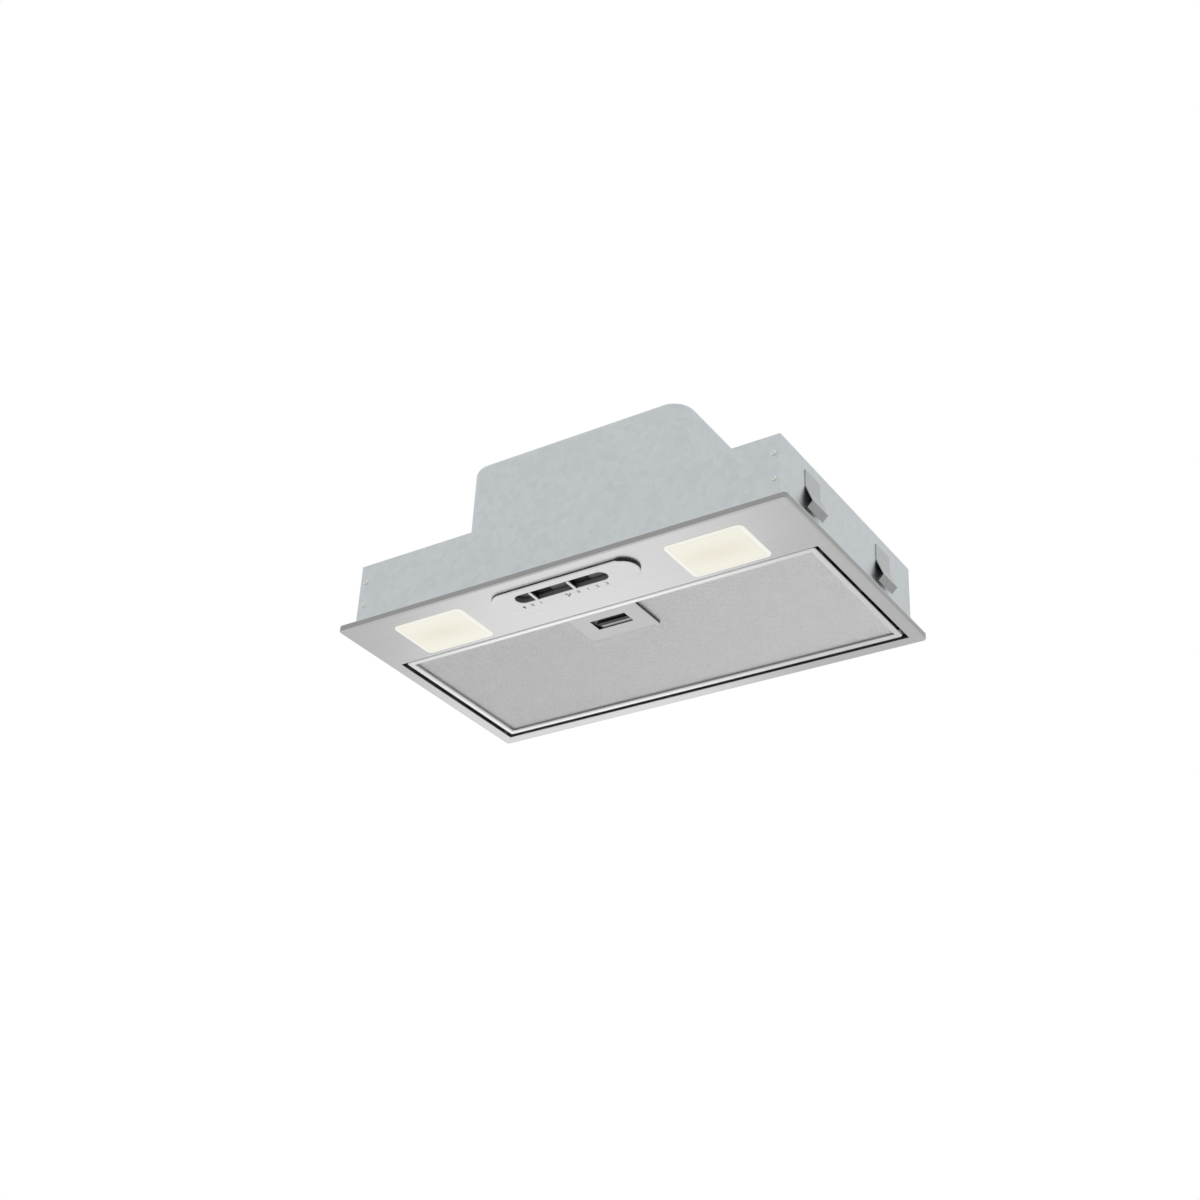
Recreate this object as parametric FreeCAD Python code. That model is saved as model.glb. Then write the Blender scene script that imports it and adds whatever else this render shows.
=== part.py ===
"""Built-in range hood for the floor of a wall cabinet.

A steel fascia tray carries two lamps, two slide switches and a drop-down grease filter. A sheet-metal
body above it holds a twin-inlet blower and a round outlet with two non-return flaps.

Frame: millimetres, +Z up, +Y towards the wall. The origin is the centre of the cabinet cut-out, on the
underside of the cabinet, so the fascia hangs below z = 0 and the body stands above it.
"""

import FreeCAD
import Part
import math
import os

from FreeCAD import Vector

TOLERANCE = 1e-6

# Fascia tray
FASCIA_WIDTH = 520.0
FASCIA_DEPTH = 300.0
RIM_HEIGHT = 7.0
SHEET = 0.8
RIM_FOLD = 2.0
FASCIA_CORNER = 4.0
SEAT_WIDTH = 9.0
SIDE_MARGIN = 13.5
STRIP_DEPTH = 87.6
LIP_HEIGHT = 15.0
OPENING_FOLD = 0.6

# Body box and upper housing
BODY_TOP = 74.0
EAR_WIDTH = 12.0
EAR_GAP = 2.0
COVER_WIDTH = 264.0
COVER_DEPTH = 244.0
COVER_HEIGHT = 96.0
COVER_SHEET = 1.0
COVER_FLANGE = 12.0
COVER_CORNER = 24.0
COVER_ROUND = 8.0
COVER_LEDGE = 2.0

# Round outlet and its flaps
COLLAR_RADIUS = 74.5
COLLAR_WALL = 2.0
COLLAR_HEIGHT = 35.0
COLLAR_FLANGE = 14.0
COLLAR_PLATE = 2.5
COLLAR_CHAMFER = 1.0
FLAP_RISE = 10.0
FLAP_THICKNESS = 1.5
FLAP_GAP = 1.5
FLAP_EDGE = 4.6
FLAP_REST_GAP = 0.3
LEDGE_WIDTH = 4.0
LEDGE_THICKNESS = 2.0
FLAP_PIN_RADIUS = 2.0
FLAP_PIN_RECESS = 0.3
PIN_FIT = 0.05
KNUCKLE_RADIUS = 3.6
KNUCKLE_LENGTH = 27.0
KNUCKLE_GAP = 0.3

# Blower
FAN_RADIUS = 58.0
FAN_WIDTH = 84.0
FAN_RING = 10.0
FAN_RING_THICKNESS = 2.0
FAN_GAP = 8.0
BLADE_COUNT = 40
BLADE_THICKNESS = 1.0
BLADE_LEAN = 40.0
HUB_DISC = 3.0
HUB_RADIUS = 10.0
HUB_LENGTH = 12.5
VOLUTE_STEP = 6.0
FAN_DROP = 80.0
SCROLL_WALL = 2.0
SCROLL_SIDE_GAP = 6.0
INLET_RADIUS = 50.0
THROAT_PLATE = 80.0
LUG_RADIUS = 5.0
LUG_LENGTH = 7.0
LUG_GAP = 0.5
LUG_ANGLES = (-45.0, -135.0, 135.0)

# Motor
MOTOR_RADIUS = 36.0
MOTOR_LENGTH = 50.0
MOTOR_ROUND = 4.0
MOTOR_NOSE = 4.0
MOTOR_NOSE_RADIUS = 10.0
NOSE_CLEARANCE = 2.5
SHAFT_RADIUS = 4.0
SHAFT_FIT = 0.05
SHAFT_DEPTH = 26.0
SHAFT_END = 2.0
NUT_FLATS = 13.0
NUT_THICKNESS = 6.0
BRACKET_SHEET = 2.0
BRACKET_EYE = 22.0
BRACKET_ARM = 14.0
BRACKET_ANGLES = (60.0, 180.0, -60.0)
FOOT_RADIUS = 58.0
BUSH_RADIUS = 6.0
MOTOR_SCREW_RADIUS = 2.0
MOTOR_SCREW_CIRCLE = 29.0
MOTOR_SCREW_LENGTH = 13.0
MOTOR_HEAD_RADIUS = 3.8
MOTOR_HEAD = 2.4

# Fixings
SCREW_CLEARANCE = 0.1
FASCIA_SCREW_RADIUS = 1.4
FASCIA_SCREW_LENGTH = 3.0
FASCIA_HEAD_RADIUS = 2.6
FASCIA_HEAD = 1.4
SIDE_SCREW_FRONT = 24.4
SIDE_SCREW_BACK = 94.5
BACK_SCREW_END = 76.5
LIP_SCREW_Z = 4.0
HOUSING_SCREW_RADIUS = 1.9
HOUSING_SCREW_LENGTH = 7.0
HOUSING_HEAD_RADIUS = 3.6
HOUSING_HEAD = 2.2
SCROLL_SCREW_RADIUS = 1.7
SCROLL_HEAD_RADIUS = 3.2
SCROLL_HEAD = 2.0
RIVET_RADIUS = 1.6
RIVET_HEAD_RADIUS = 3.0
RIVET_HEAD = 1.0
RIVET_END = 42.3
RIVET_SIDE_Z = (26.0, 54.0)
FRONT_BRACKET_END = 25.3
FRONT_BRACKET_WIDTH = 20.0
FRONT_BRACKET_HEIGHT = 22.0
FRONT_BRACKET_FOOT = 14.0
FRONT_SCREW_Z = 7.5
CLIP_WIDTH = 30.0
CLIP_SHEET = 0.8
CLIP_TOP = 62.0
CLIP_BEND = 44.0
CLIP_NOSE = 25.0
CLIP_TIP = 19.0
CLIP_REACH = 8.0
CLIP_RETURN = 2.4

# Lamps
LAMP_FROM_END = 99.0
LAMP_FROM_FRONT = 50.25
LENS_LENGTH = 85.0
LENS_DEPTH = 61.5
LENS_CORNER = 6.0
LENS_PROUD = 1.2
LENS_ROUND = 1.1
LENS_WALL = 2.0
LENS_GAP = 0.2
LENS_FLANGE = 2.5
LENS_FLANGE_THICKNESS = 1.2
TRAY_GAP = 1.0
TRAY_WALL = 0.8
TRAY_HEIGHT = 41.0
BULB_HEIGHT = 20.0
BULB_RADIUS = 16.0
BULB_LENGTH = 44.0
BULB_SHOULDER = 13.3
SOCKET_RADIUS = 12.0
SOCKET_LENGTH = 24.0
SOCKET_STUB = 6.0
SOCKET_STUB_RADIUS = 4.5
CAP_RADIUS = 6.8
CAP_LENGTH = 18.0
CAP_FIT = 0.1
LEAD_RADIUS = 2.5
LEAD_BEND = 0.45
LAMP_LEAD_RUN = 0.35
MOTOR_LEAD_GAP = 6.0
MOTOR_LEAD_RISE = 20.0
MOTOR_LEAD_STEP = 15.0
MOTOR_LEAD_SIDE = 25.0
MOTOR_LEAD_SWEEP = 40.0

# Slide controls
BEZEL_LENGTH = 168.5
BEZEL_DEPTH = 33.0
BEZEL_FROM_FRONT = 33.1
BEZEL_PROUD = 3.7
BEZEL_ROUND = 1.2
BEZEL_GAP = 0.2
BEZEL_FLANGE = 2.5
BEZEL_FLANGE_THICKNESS = 1.5
SLOT_LENGTH = 107.0
SLOT_DEPTH = 16.0
SLOT_X = -3.0
SLOT_FROM_FRONT = 31.3
SLOT_EDGE = 0.5
LIGHT_X = -36.0
SPEED_X = 8.6
INDEX_WIDTH = 2.6
INDEX_GAP = 0.4
INDEX_PROUD = 0.3
CARRIAGE_THICKNESS = 1.5
CARRIAGE_BACK = 4.0
CARRIAGE_AHEAD = 16.0
CARRIAGE_DEPTH = 21.0
CARRIAGE_GAP = 0.2
SWITCH_LENGTH = 132.0
SWITCH_DEPTH = 30.0
SWITCH_HEIGHT = 26.7
SWITCH_WALL = 3.0

# Grease filter
FILTER_SIDE_GAP = 4.5
FILTER_FRONT_GAP = 2.5
FILTER_BACK_GAP = 3.9
FILTER_RECESS = 0.8
FILTER_HEIGHT = 8.0
FILTER_CORNER = 3.0
FILTER_RIM = 6.5
FILTER_BEAD = 3.0
FILTER_BEAD_ROUND = 1.4
FILTER_WALL = 1.4
FILTER_LIP = 1.2
MESH_THICKNESS = 1.0
MESH_GAP = 0.2
PIVOT_INSET = 6.6
PIVOT_DROP = 3.5
PIVOT_RADIUS = 2.0
PIVOT_FIT = 0.05
PIVOT_FLANGE_RADIUS = 3.6
PIVOT_FLANGE = 0.8
PIVOT_TAIL_RADIUS = 1.2
BEARING_GAP = 0.3
BEARING_END = 0.4
BEARING_RADIUS = 4.6
BEARING_STUB = 2.4

# Filter latch
LATCH_WIDTH = 80.5
LATCH_BACK = 53.7
LATCH_LIFT = 0.3
LATCH_PLATE = 1.8
LATCH_ROUND = 0.8
FINGER_WIDTH = 41.0
FINGER_FRONT = 17.8
FINGER_DEPTH = 18.0
HOUSING_WIDTH = 52.0
HOUSING_FRONT = 14.2
HOUSING_BACK = 50.2
HOUSING_WALL = 1.5
LATCH_COVER = 1.2
NOTCH_GAP = 0.5
TONGUE_WIDTH = 28.0
TONGUE_THICKNESS = 1.6
TONGUE_GAP = 0.3
TONGUE_REACH = 2.1
BAR_WIDTH = 36.0
BAR_FRONT = 27.7
BAR_DEPTH = 13.5
BAR_GAP = 0.2
SPRING_LEAF = 0.5
SPRING_HEIGHT = 2.5
SPRING_SPAN = 30.0
SPRING_GAP = 0.15
CATCH_WIDTH = 26.0
CATCH_LEAF = 0.5
CATCH_WINDOW_GAP = 2.0
CATCH_REACH = 0.7
CATCH_SLOPE = 1.9

# Electrical parts on the body's roof
TERMINAL_FROM_END = 51.3
TERMINAL_FROM_BACK = 45.3
TERMINAL_LENGTH = 72.0
TERMINAL_DEPTH = 44.0
TERMINAL_HEIGHT = 30.0
TERMINAL_WALL = 2.0
GLAND_BORE = 4.0
GLAND_SHANK = 6.0
GLAND_CLEARANCE = 0.1
GLAND_FLANGE_RADIUS = 10.0
GLAND_FLANGE = 3.0
GLAND_NOSE_RADIUS = 7.5
GLAND_NOSE = 9.0
GLAND_TAIL = 4.0
CAPACITOR_FROM_END = 57.3
CAPACITOR_FROM_BACK = 67.3
CAPACITOR_RADIUS = 16.0
CAPACITOR_LENGTH = 58.0
CAPACITOR_ROUND = 2.0
CAPACITOR_CLIP = 14.0
CAPACITOR_CLIP_SHEET = 1.2
CAPACITOR_DROP = 4.0

# Levels and faces that several pieces share
FACE = -RIM_HEIGHT
FLOOR = FACE + SHEET
HALF_WIDTH = FASCIA_WIDTH / 2
FRONT = -FASCIA_DEPTH / 2
BACK = FASCIA_DEPTH / 2
OPEN_X = HALF_WIDTH - SIDE_MARGIN
OPEN_FRONT = FRONT + STRIP_DEPTH
OPEN_BACK = BACK - SIDE_MARGIN
LIP_TOP = FACE + LIP_HEIGHT
WALL_X = OPEN_X + SHEET
WALL_BACK = OPEN_BACK + SHEET
WALL_FRONT = -WALL_BACK
ROOF = BODY_TOP - SHEET
CLIP_Y = FASCIA_DEPTH / 4
COVER_TOP = BODY_TOP + COVER_HEIGHT
COVER_INSIDE = COVER_TOP - COVER_SHEET
COLLAR_BORE = COLLAR_RADIUS - COLLAR_WALL
FLAP_PIN_Z = COVER_TOP + FLAP_RISE

VOLUTE_LARGE = FAN_RADIUS + FAN_GAP + 2 * VOLUTE_STEP
FAN_Y = -VOLUTE_LARGE / 2
FAN_Z = COVER_INSIDE - FAN_DROP
THROAT_FRONT = FAN_Y - VOLUTE_STEP / 2
THROAT_BACK = FAN_Y + VOLUTE_STEP / 2 + VOLUTE_LARGE
SCROLL_INSIDE = FAN_WIDTH / 2 + SCROLL_SIDE_GAP
SCROLL_OUTSIDE = SCROLL_INSIDE + SCROLL_WALL
NOSE_X = HUB_DISC / 2 + NOSE_CLEARANCE
MOTOR_FRONT = NOSE_X + MOTOR_NOSE
MOTOR_BACK = MOTOR_FRONT + MOTOR_LENGTH
HUB_BACK = -HUB_DISC / 2 - HUB_LENGTH

FILTER_X = OPEN_X - FILTER_SIDE_GAP
FILTER_FRONT = OPEN_FRONT + FILTER_FRONT_GAP
FILTER_BACK = OPEN_BACK - FILTER_BACK_GAP
FILTER_FACE = FACE + FILTER_RECESS
FILTER_TOP = FILTER_FACE + FILTER_HEIGHT
MESH_FACE = FILTER_FACE + FILTER_BEAD
MESH_TOP = FILTER_TOP - FILTER_LIP
PIVOT_Y = FILTER_BACK - PIVOT_INSET
PIVOT_Z = FILTER_TOP - PIVOT_DROP

LATCH_FACE = FILTER_FACE + LATCH_LIFT
LATCH_INSIDE = LATCH_FACE + LATCH_PLATE
LATCH_Y0 = FILTER_FRONT + FILTER_RIM
LATCH_Y1 = FILTER_FRONT + LATCH_BACK
FINGER_Y0 = FILTER_FRONT + FINGER_FRONT
FINGER_Y1 = FINGER_Y0 + FINGER_DEPTH
HOUSING_Y0 = FILTER_FRONT + HOUSING_FRONT
HOUSING_Y1 = FILTER_FRONT + HOUSING_BACK
HOUSING_TOP = MESH_TOP - 2 * TONGUE_GAP
TONGUE_TOP = HOUSING_TOP - TONGUE_GAP
TONGUE_Z = TONGUE_TOP - TONGUE_THICKNESS
TONGUE_TIP = FILTER_FRONT - TONGUE_REACH
BAR_Y0 = FILTER_FRONT + BAR_FRONT
BAR_Y1 = BAR_Y0 + BAR_DEPTH

LAMP_X = HALF_WIDTH - LAMP_FROM_END
LAMP_Y = FRONT + LAMP_FROM_FRONT
BEZEL_Y = FRONT + BEZEL_FROM_FRONT
SLOT_Y = FRONT + SLOT_FROM_FRONT
BEZEL_FACE = FACE - BEZEL_PROUD
BEZEL_TOP = FLOOR + BEZEL_FLANGE_THICKNESS
CARRIAGE_Z = BEZEL_TOP + CARRIAGE_GAP
CARRIAGE_TOP = CARRIAGE_Z + CARRIAGE_THICKNESS
CHANNEL_TOP = CARRIAGE_TOP + CARRIAGE_GAP
SWITCH_TOP = BEZEL_TOP + SWITCH_HEIGHT
LENS_FACE = FACE - LENS_PROUD
BULB_Z = FLOOR + BULB_HEIGHT
TERMINAL_X = TERMINAL_FROM_END - WALL_X
TERMINAL_Y = WALL_BACK - TERMINAL_FROM_BACK
TERMINAL_Z = ROOF - TERMINAL_HEIGHT
CAPACITOR_X = WALL_X - CAPACITOR_FROM_END
CAPACITOR_Y = WALL_BACK - CAPACITOR_FROM_BACK
CAPACITOR_Z = ROOF - CAPACITOR_DROP - CAPACITOR_RADIUS


def box(x0, x1, y0, y1, z0, z1):
    """Block between two corners."""
    return Part.makeBox(x1 - x0, y1 - y0, z1 - z0, Vector(x0, y0, z0))


def rod(radius, start, end):
    """Round bar from one point to another."""
    axis = Vector(*end) - Vector(*start)
    return Part.makeCylinder(radius, axis.Length, Vector(*start), axis)


def ring(outer, inner, start, end):
    """Round tube from one point to another."""
    return rod(outer, start, end).cut(rod(inner, start, end))


def rounded_slab(x0, x1, y0, y1, z0, z1, radius):
    """Block with rounded upright corners, down to a pill where the radius is half the depth."""
    turns = (
        (x1 - radius, y0 + radius, 270.0),
        (x1 - radius, y1 - radius, 0.0),
        (x0 + radius, y1 - radius, 90.0),
        (x0 + radius, y0 + radius, 180.0),
    )
    up = Vector(0, 0, 1)
    arcs = [Part.makeCircle(radius, Vector(x, y, z0), up, a, a + 90.0) for x, y, a in turns]
    edges = []
    for arc, following in zip(arcs, arcs[1:] + arcs[:1]):
        edges.append(arc)
        start = arc.Vertexes[-1].Point
        end = following.Vertexes[0].Point
        if start.distanceToPoint(end) > TOLERANCE:
            edges.append(Part.makeLine(start, end))
    return Part.Face(Part.Wire(edges)).extrude(Vector(0, 0, z1 - z0))


def pill(length, depth, x, y, z0, z1, grow=0.0):
    """Slab with half-round ends, grown by the same amount all round."""
    half_length = length / 2 + grow
    half_depth = depth / 2 + grow
    sides = (x - half_length, x + half_length, y - half_depth, y + half_depth)
    return rounded_slab(*sides, z0, z1, half_depth)


def level_edges(shape, z):
    """Edges of a shape that lie at one height."""
    found = []
    for edge in shape.Edges:
        bounds = edge.BoundBox
        if abs(bounds.ZMin - z) < TOLERANCE and abs(bounds.ZMax - z) < TOLERANCE:
            found.append(edge)
    return found


def mirrored(shape):
    """The same shape on the other side of the middle plane."""
    return shape.mirror(Vector(0, 0, 0), Vector(1, 0, 0))


def fused(shapes):
    """One solid from shapes that meet, without the seams between them."""
    return shapes[0].multiFuse(shapes[1:]).removeSplitter()


def strip_outline(points, thickness):
    """Closed outline of a sheet bent along a line of points, with mitred bends."""
    normals = []
    for (u0, v0), (u1, v1) in zip(points, points[1:]):
        length = math.hypot(u1 - u0, v1 - v0)
        normals.append(((v0 - v1) / length, (u1 - u0) / length))
    left = []
    right = []
    for index, (u, v) in enumerate(points):
        nu, nv = normals[max(index - 1, 0)]
        mu, mv = normals[min(index, len(normals) - 1)]
        reach = thickness / 2 / (1 + nu * mu + nv * mv)
        offset = ((nu + mu) * reach, (nv + mv) * reach)
        left.append((u + offset[0], v + offset[1]))
        right.append((u - offset[0], v - offset[1]))
    return left + right[::-1]


def prism(corners, sweep):
    """Solid of a flat outline of points carried along a vector."""
    wire = Part.makePolygon(corners + corners[:1])
    return Part.Face(wire).extrude(sweep)


def screw(seat, direction, radius, length, head_radius, head):
    """Pan-head screw: its head stands on the seat, its shank points along the direction."""
    start = Vector(*seat)
    along = Vector(*direction)
    shank = Part.makeCylinder(radius, length, start, along)
    cap = Part.makeCylinder(head_radius, head, start - along * head, along)
    return fused([cap, shank])


def screw_hole(seat, direction, radius, length):
    """Clearance hole for a screw, with some length to spare."""
    return Part.makeCylinder(radius + SCREW_CLEARANCE, length, Vector(*seat), Vector(*direction))


def front_bracket_places():
    """Middles of the two front brackets, near the ends of the front wall."""
    return (FRONT_BRACKET_END - WALL_X, WALL_X - FRONT_BRACKET_END)


def fascia_screw_seats():
    """Where the fascia's screws sit: on the side and back lips and on the front brackets."""
    seats = []
    for y in (OPEN_FRONT + SIDE_SCREW_FRONT, OPEN_BACK - SIDE_SCREW_BACK):
        seats.append(((-OPEN_X, y, LIP_SCREW_Z), (-1, 0, 0)))
        seats.append(((OPEN_X, y, LIP_SCREW_Z), (1, 0, 0)))
    for x in (BACK_SCREW_END - OPEN_X, 0, OPEN_X - BACK_SCREW_END):
        seats.append(((x, OPEN_BACK, LIP_SCREW_Z), (0, 1, 0)))
    for x in front_bracket_places():
        seats.append(((x, WALL_FRONT + SHEET, FRONT_SCREW_Z), (0, -1, 0)))
    return seats


def cut_fascia_screws(shape):
    """Drill a sheet for the fascia's screws."""
    holes = [screw_hole(s, d, FASCIA_SCREW_RADIUS, 2 * SHEET) for s, d in fascia_screw_seats()]
    return shape.cut(holes)


def fascia_screws():
    """All the screws that join the fascia to the body."""
    sizes = (FASCIA_SCREW_RADIUS, FASCIA_SCREW_LENGTH, FASCIA_HEAD_RADIUS, FASCIA_HEAD)
    return [screw(seat, direction, *sizes) for seat, direction in fascia_screw_seats()]


def housing_screw_seats():
    """Where the upper housing's screws sit: on its flange, on the collar and over the throat plate."""
    flange_x = COVER_WIDTH / 2 + COVER_FLANGE / 2
    flange_y = COVER_DEPTH / 2 + COVER_FLANGE / 2
    flange_z = BODY_TOP + COVER_SHEET
    seats = []
    for side in (-1, 1):
        for end in (-1, 1):
            seats.append((side * flange_x, end * COVER_DEPTH / 4, flange_z))
            seats.append((end * COVER_WIDTH / 4, side * flange_y, flange_z))
    collar_circle = (COLLAR_RADIUS + COLLAR_FLANGE / 2) / math.sqrt(2)
    plate_corner = THROAT_PLATE - LUG_RADIUS
    for x in (-1, 1):
        for y in (-1, 1):
            seats.append((x * collar_circle, y * collar_circle, COVER_TOP + COLLAR_PLATE))
            seats.append((x * plate_corner, y * plate_corner, COVER_TOP))
    return seats


def cut_housing_screws(shape):
    """Drill a sheet for the upper housing's screws."""
    down = (0, 0, -1)
    seats = housing_screw_seats()
    return shape.cut([screw_hole(s, down, HOUSING_SCREW_RADIUS, HOUSING_SCREW_LENGTH) for s in seats])


def housing_screws():
    """All the screws of the upper housing."""
    sizes = (HOUSING_SCREW_RADIUS, HOUSING_SCREW_LENGTH, HOUSING_HEAD_RADIUS, HOUSING_HEAD)
    return [screw(seat, (0, 0, -1), *sizes) for seat in housing_screw_seats()]


def rivet_seats():
    """Where the body's rivets sit, on the outside of the wrap over the end plates' ears."""
    seats = []
    for x in (-WALL_X + EAR_WIDTH / 2, WALL_X - EAR_WIDTH / 2):
        for y in (WALL_FRONT + RIVET_END, 0, WALL_BACK - RIVET_END):
            seats.append(((x, y, BODY_TOP), (0, 0, -1)))
        for z in RIVET_SIDE_Z:
            seats.append(((x, WALL_FRONT - SHEET, z), (0, 1, 0)))
            seats.append(((x, WALL_BACK + SHEET, z), (0, -1, 0)))
    return seats


def cut_rivets(shape):
    """Drill a sheet for the body's rivets."""
    return shape.cut([screw_hole(s, d, RIVET_RADIUS, 2 * SHEET) for s, d in rivet_seats()])


def rivet(seat, direction):
    """Blind rivet: a domed head outside, a shank through both sheets and a set end inside."""
    start = Vector(*seat)
    along = Vector(*direction)
    set_radius = (RIVET_RADIUS + RIVET_HEAD_RADIUS) / 2
    head = Part.makeCone(RIVET_HEAD_RADIUS, RIVET_RADIUS, RIVET_HEAD, start, along * -1)
    shank = Part.makeCylinder(RIVET_RADIUS, 2 * SHEET, start, along)
    set_end = Part.makeCylinder(set_radius, RIVET_HEAD, start + along * 2 * SHEET, along)
    return fused([head, shank, set_end])


def shell_rivets():
    """All the rivets of the body box."""
    return [rivet(seat, direction) for seat, direction in rivet_seats()]


def fascia_tray():
    """Folded tray with the return flange that seats on the cabinet."""
    outer = rounded_slab(-HALF_WIDTH, HALF_WIDTH, FRONT, BACK, FACE, 0, FASCIA_CORNER)
    outer = outer.makeFillet(RIM_FOLD, level_edges(outer, FACE))
    inner_x = HALF_WIDTH - SHEET
    inner_y = BACK - SHEET
    inner_corner = FASCIA_CORNER - SHEET
    inside = rounded_slab(-inner_x, inner_x, -inner_y, inner_y, FLOOR, 0, inner_corner)
    inside = inside.makeFillet(RIM_FOLD - SHEET, level_edges(inside, FLOOR))
    seat = rounded_slab(-inner_x, inner_x, -inner_y, inner_y, -SHEET, 0, inner_corner)
    hole_x = inner_x - SEAT_WIDTH
    hole_y = inner_y - SEAT_WIDTH
    hole = rounded_slab(-hole_x, hole_x, -hole_y, hole_y, -SHEET, 0, inner_corner)
    return fused([outer.cut(inside), seat.cut(hole)])


def filter_opening():
    """The opening for the filter, with a small fold along its lower edge."""
    opening = box(-OPEN_X, OPEN_X, OPEN_FRONT, OPEN_BACK, FACE, FLOOR)
    side = OPEN_X + OPENING_FOLD
    front = OPEN_FRONT - OPENING_FOLD
    back = OPEN_BACK + OPENING_FOLD
    level = FACE + OPENING_FOLD
    rounds = []
    for x in (-side, side):
        rounds.append(rod(OPENING_FOLD, (x, front, level), (x, back, level)))
    for y in (front, back):
        rounds.append(rod(OPENING_FOLD, (-side, y, level), (side, y, level)))
    return fused([opening, box(-side, side, front, back, FACE, level).cut(rounds)])


def fascia_panel():
    """Stainless tray with its openings and the turned-up lips round the filter."""
    lips = box(-WALL_X, WALL_X, OPEN_FRONT - SHEET, WALL_BACK, FLOOR, LIP_TOP)
    lips = lips.cut(box(-OPEN_X, OPEN_X, OPEN_FRONT, OPEN_BACK, FLOOR, LIP_TOP))
    panel = fused([fascia_tray().cut(filter_opening()), lips])
    cuts = [pill(BEZEL_LENGTH, BEZEL_DEPTH, 0, BEZEL_Y, FACE, FLOOR, BEZEL_GAP)]
    for x in (-LAMP_X, LAMP_X):
        cuts.append(lens_slab(x, FACE, FLOOR, LENS_GAP))
    for x0, x1 in ((-WALL_X, -OPEN_X), (OPEN_X, WALL_X)):
        cuts.append(rod(BEARING_STUB, (x0, PIVOT_Y, PIVOT_Z), (x1, PIVOT_Y, PIVOT_Z)))
    cuts.append(catch_window())
    return cut_fascia_screws(panel.cut(cuts))


def front_brackets():
    """Angles on the fascia that the body's front wall is screwed to."""
    brackets = []
    for x in front_bracket_places():
        x0 = x - FRONT_BRACKET_WIDTH / 2
        x1 = x + FRONT_BRACKET_WIDTH / 2
        leg = box(x0, x1, WALL_FRONT, WALL_FRONT + SHEET, FLOOR, FLOOR + FRONT_BRACKET_HEIGHT)
        foot = box(x0, x1, WALL_FRONT, WALL_FRONT + FRONT_BRACKET_FOOT, FLOOR, FLOOR + SHEET)
        brackets.append(cut_fascia_screws(fused([leg, foot])))
    return brackets


def cover_inner(z0, z1):
    """Slab that fills the upper housing's inside between two heights."""
    half_x = COVER_WIDTH / 2 - COVER_SHEET
    half_y = COVER_DEPTH / 2 - COVER_SHEET
    return rounded_slab(-half_x, half_x, -half_y, half_y, z0, z1, COVER_CORNER - COVER_SHEET)


def gland_hole(z0, z1):
    """Clearance hole for the cable gland between two heights."""
    start = (TERMINAL_X, TERMINAL_Y, z0)
    return rod(GLAND_SHANK + GLAND_CLEARANCE, start, (TERMINAL_X, TERMINAL_Y, z1))


def body_wrap():
    """Front wall, roof and back wall of the body box, folded from one sheet."""
    front = box(-WALL_X, WALL_X, WALL_FRONT - SHEET, WALL_FRONT, FLOOR, BODY_TOP)
    back = box(-WALL_X, WALL_X, WALL_BACK, WALL_BACK + SHEET, FLOOR, BODY_TOP)
    roof = box(-WALL_X, WALL_X, WALL_FRONT, WALL_BACK, ROOF, BODY_TOP)
    half_x = COVER_WIDTH / 2 - COVER_SHEET - COVER_LEDGE
    half_y = COVER_DEPTH / 2 - COVER_SHEET - COVER_LEDGE
    corner = COVER_CORNER - COVER_SHEET - COVER_LEDGE
    opening = rounded_slab(-half_x, half_x, -half_y, half_y, ROOF, BODY_TOP, corner)
    wrap = fused([front, back, roof]).cut([opening, gland_hole(ROOF, BODY_TOP)])
    return cut_housing_screws(cut_rivets(cut_fascia_screws(wrap)))


def end_plate():
    """Right end of the body box, with ears turned in under the wrap."""
    plate = box(WALL_X, WALL_X + SHEET, WALL_FRONT - SHEET, WALL_BACK + SHEET, FLOOR, BODY_TOP)
    ear_x = WALL_X - EAR_WIDTH
    ear_z = LIP_TOP + EAR_GAP
    top = box(ear_x, WALL_X, WALL_FRONT + SHEET, WALL_BACK - SHEET, ROOF - SHEET, ROOF)
    front = box(ear_x, WALL_X, WALL_FRONT, WALL_FRONT + SHEET, ear_z, ROOF)
    back = box(ear_x, WALL_X, WALL_BACK - SHEET, WALL_BACK, ear_z, ROOF)
    return cut_rivets(cut_fascia_screws(fused([plate, top, front, back])))


def side_clip(y):
    """Spring leaf on the right end plate that grips the cabinet floor from above."""
    seat = WALL_X + SHEET
    line = [
        (seat + CLIP_SHEET / 2, CLIP_TOP),
        (seat + CLIP_SHEET / 2, CLIP_BEND),
        (seat + CLIP_REACH, CLIP_NOSE),
        (seat + CLIP_RETURN, CLIP_TIP),
    ]
    corners = [Vector(x, y - CLIP_WIDTH / 2, z) for x, z in strip_outline(line, CLIP_SHEET)]
    return prism(corners, Vector(0, CLIP_WIDTH, 0))


def side_clips():
    """The four spring clips, two on each end."""
    right = [side_clip(y) for y in (-CLIP_Y, CLIP_Y)]
    return right + [mirrored(clip) for clip in right]


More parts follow.
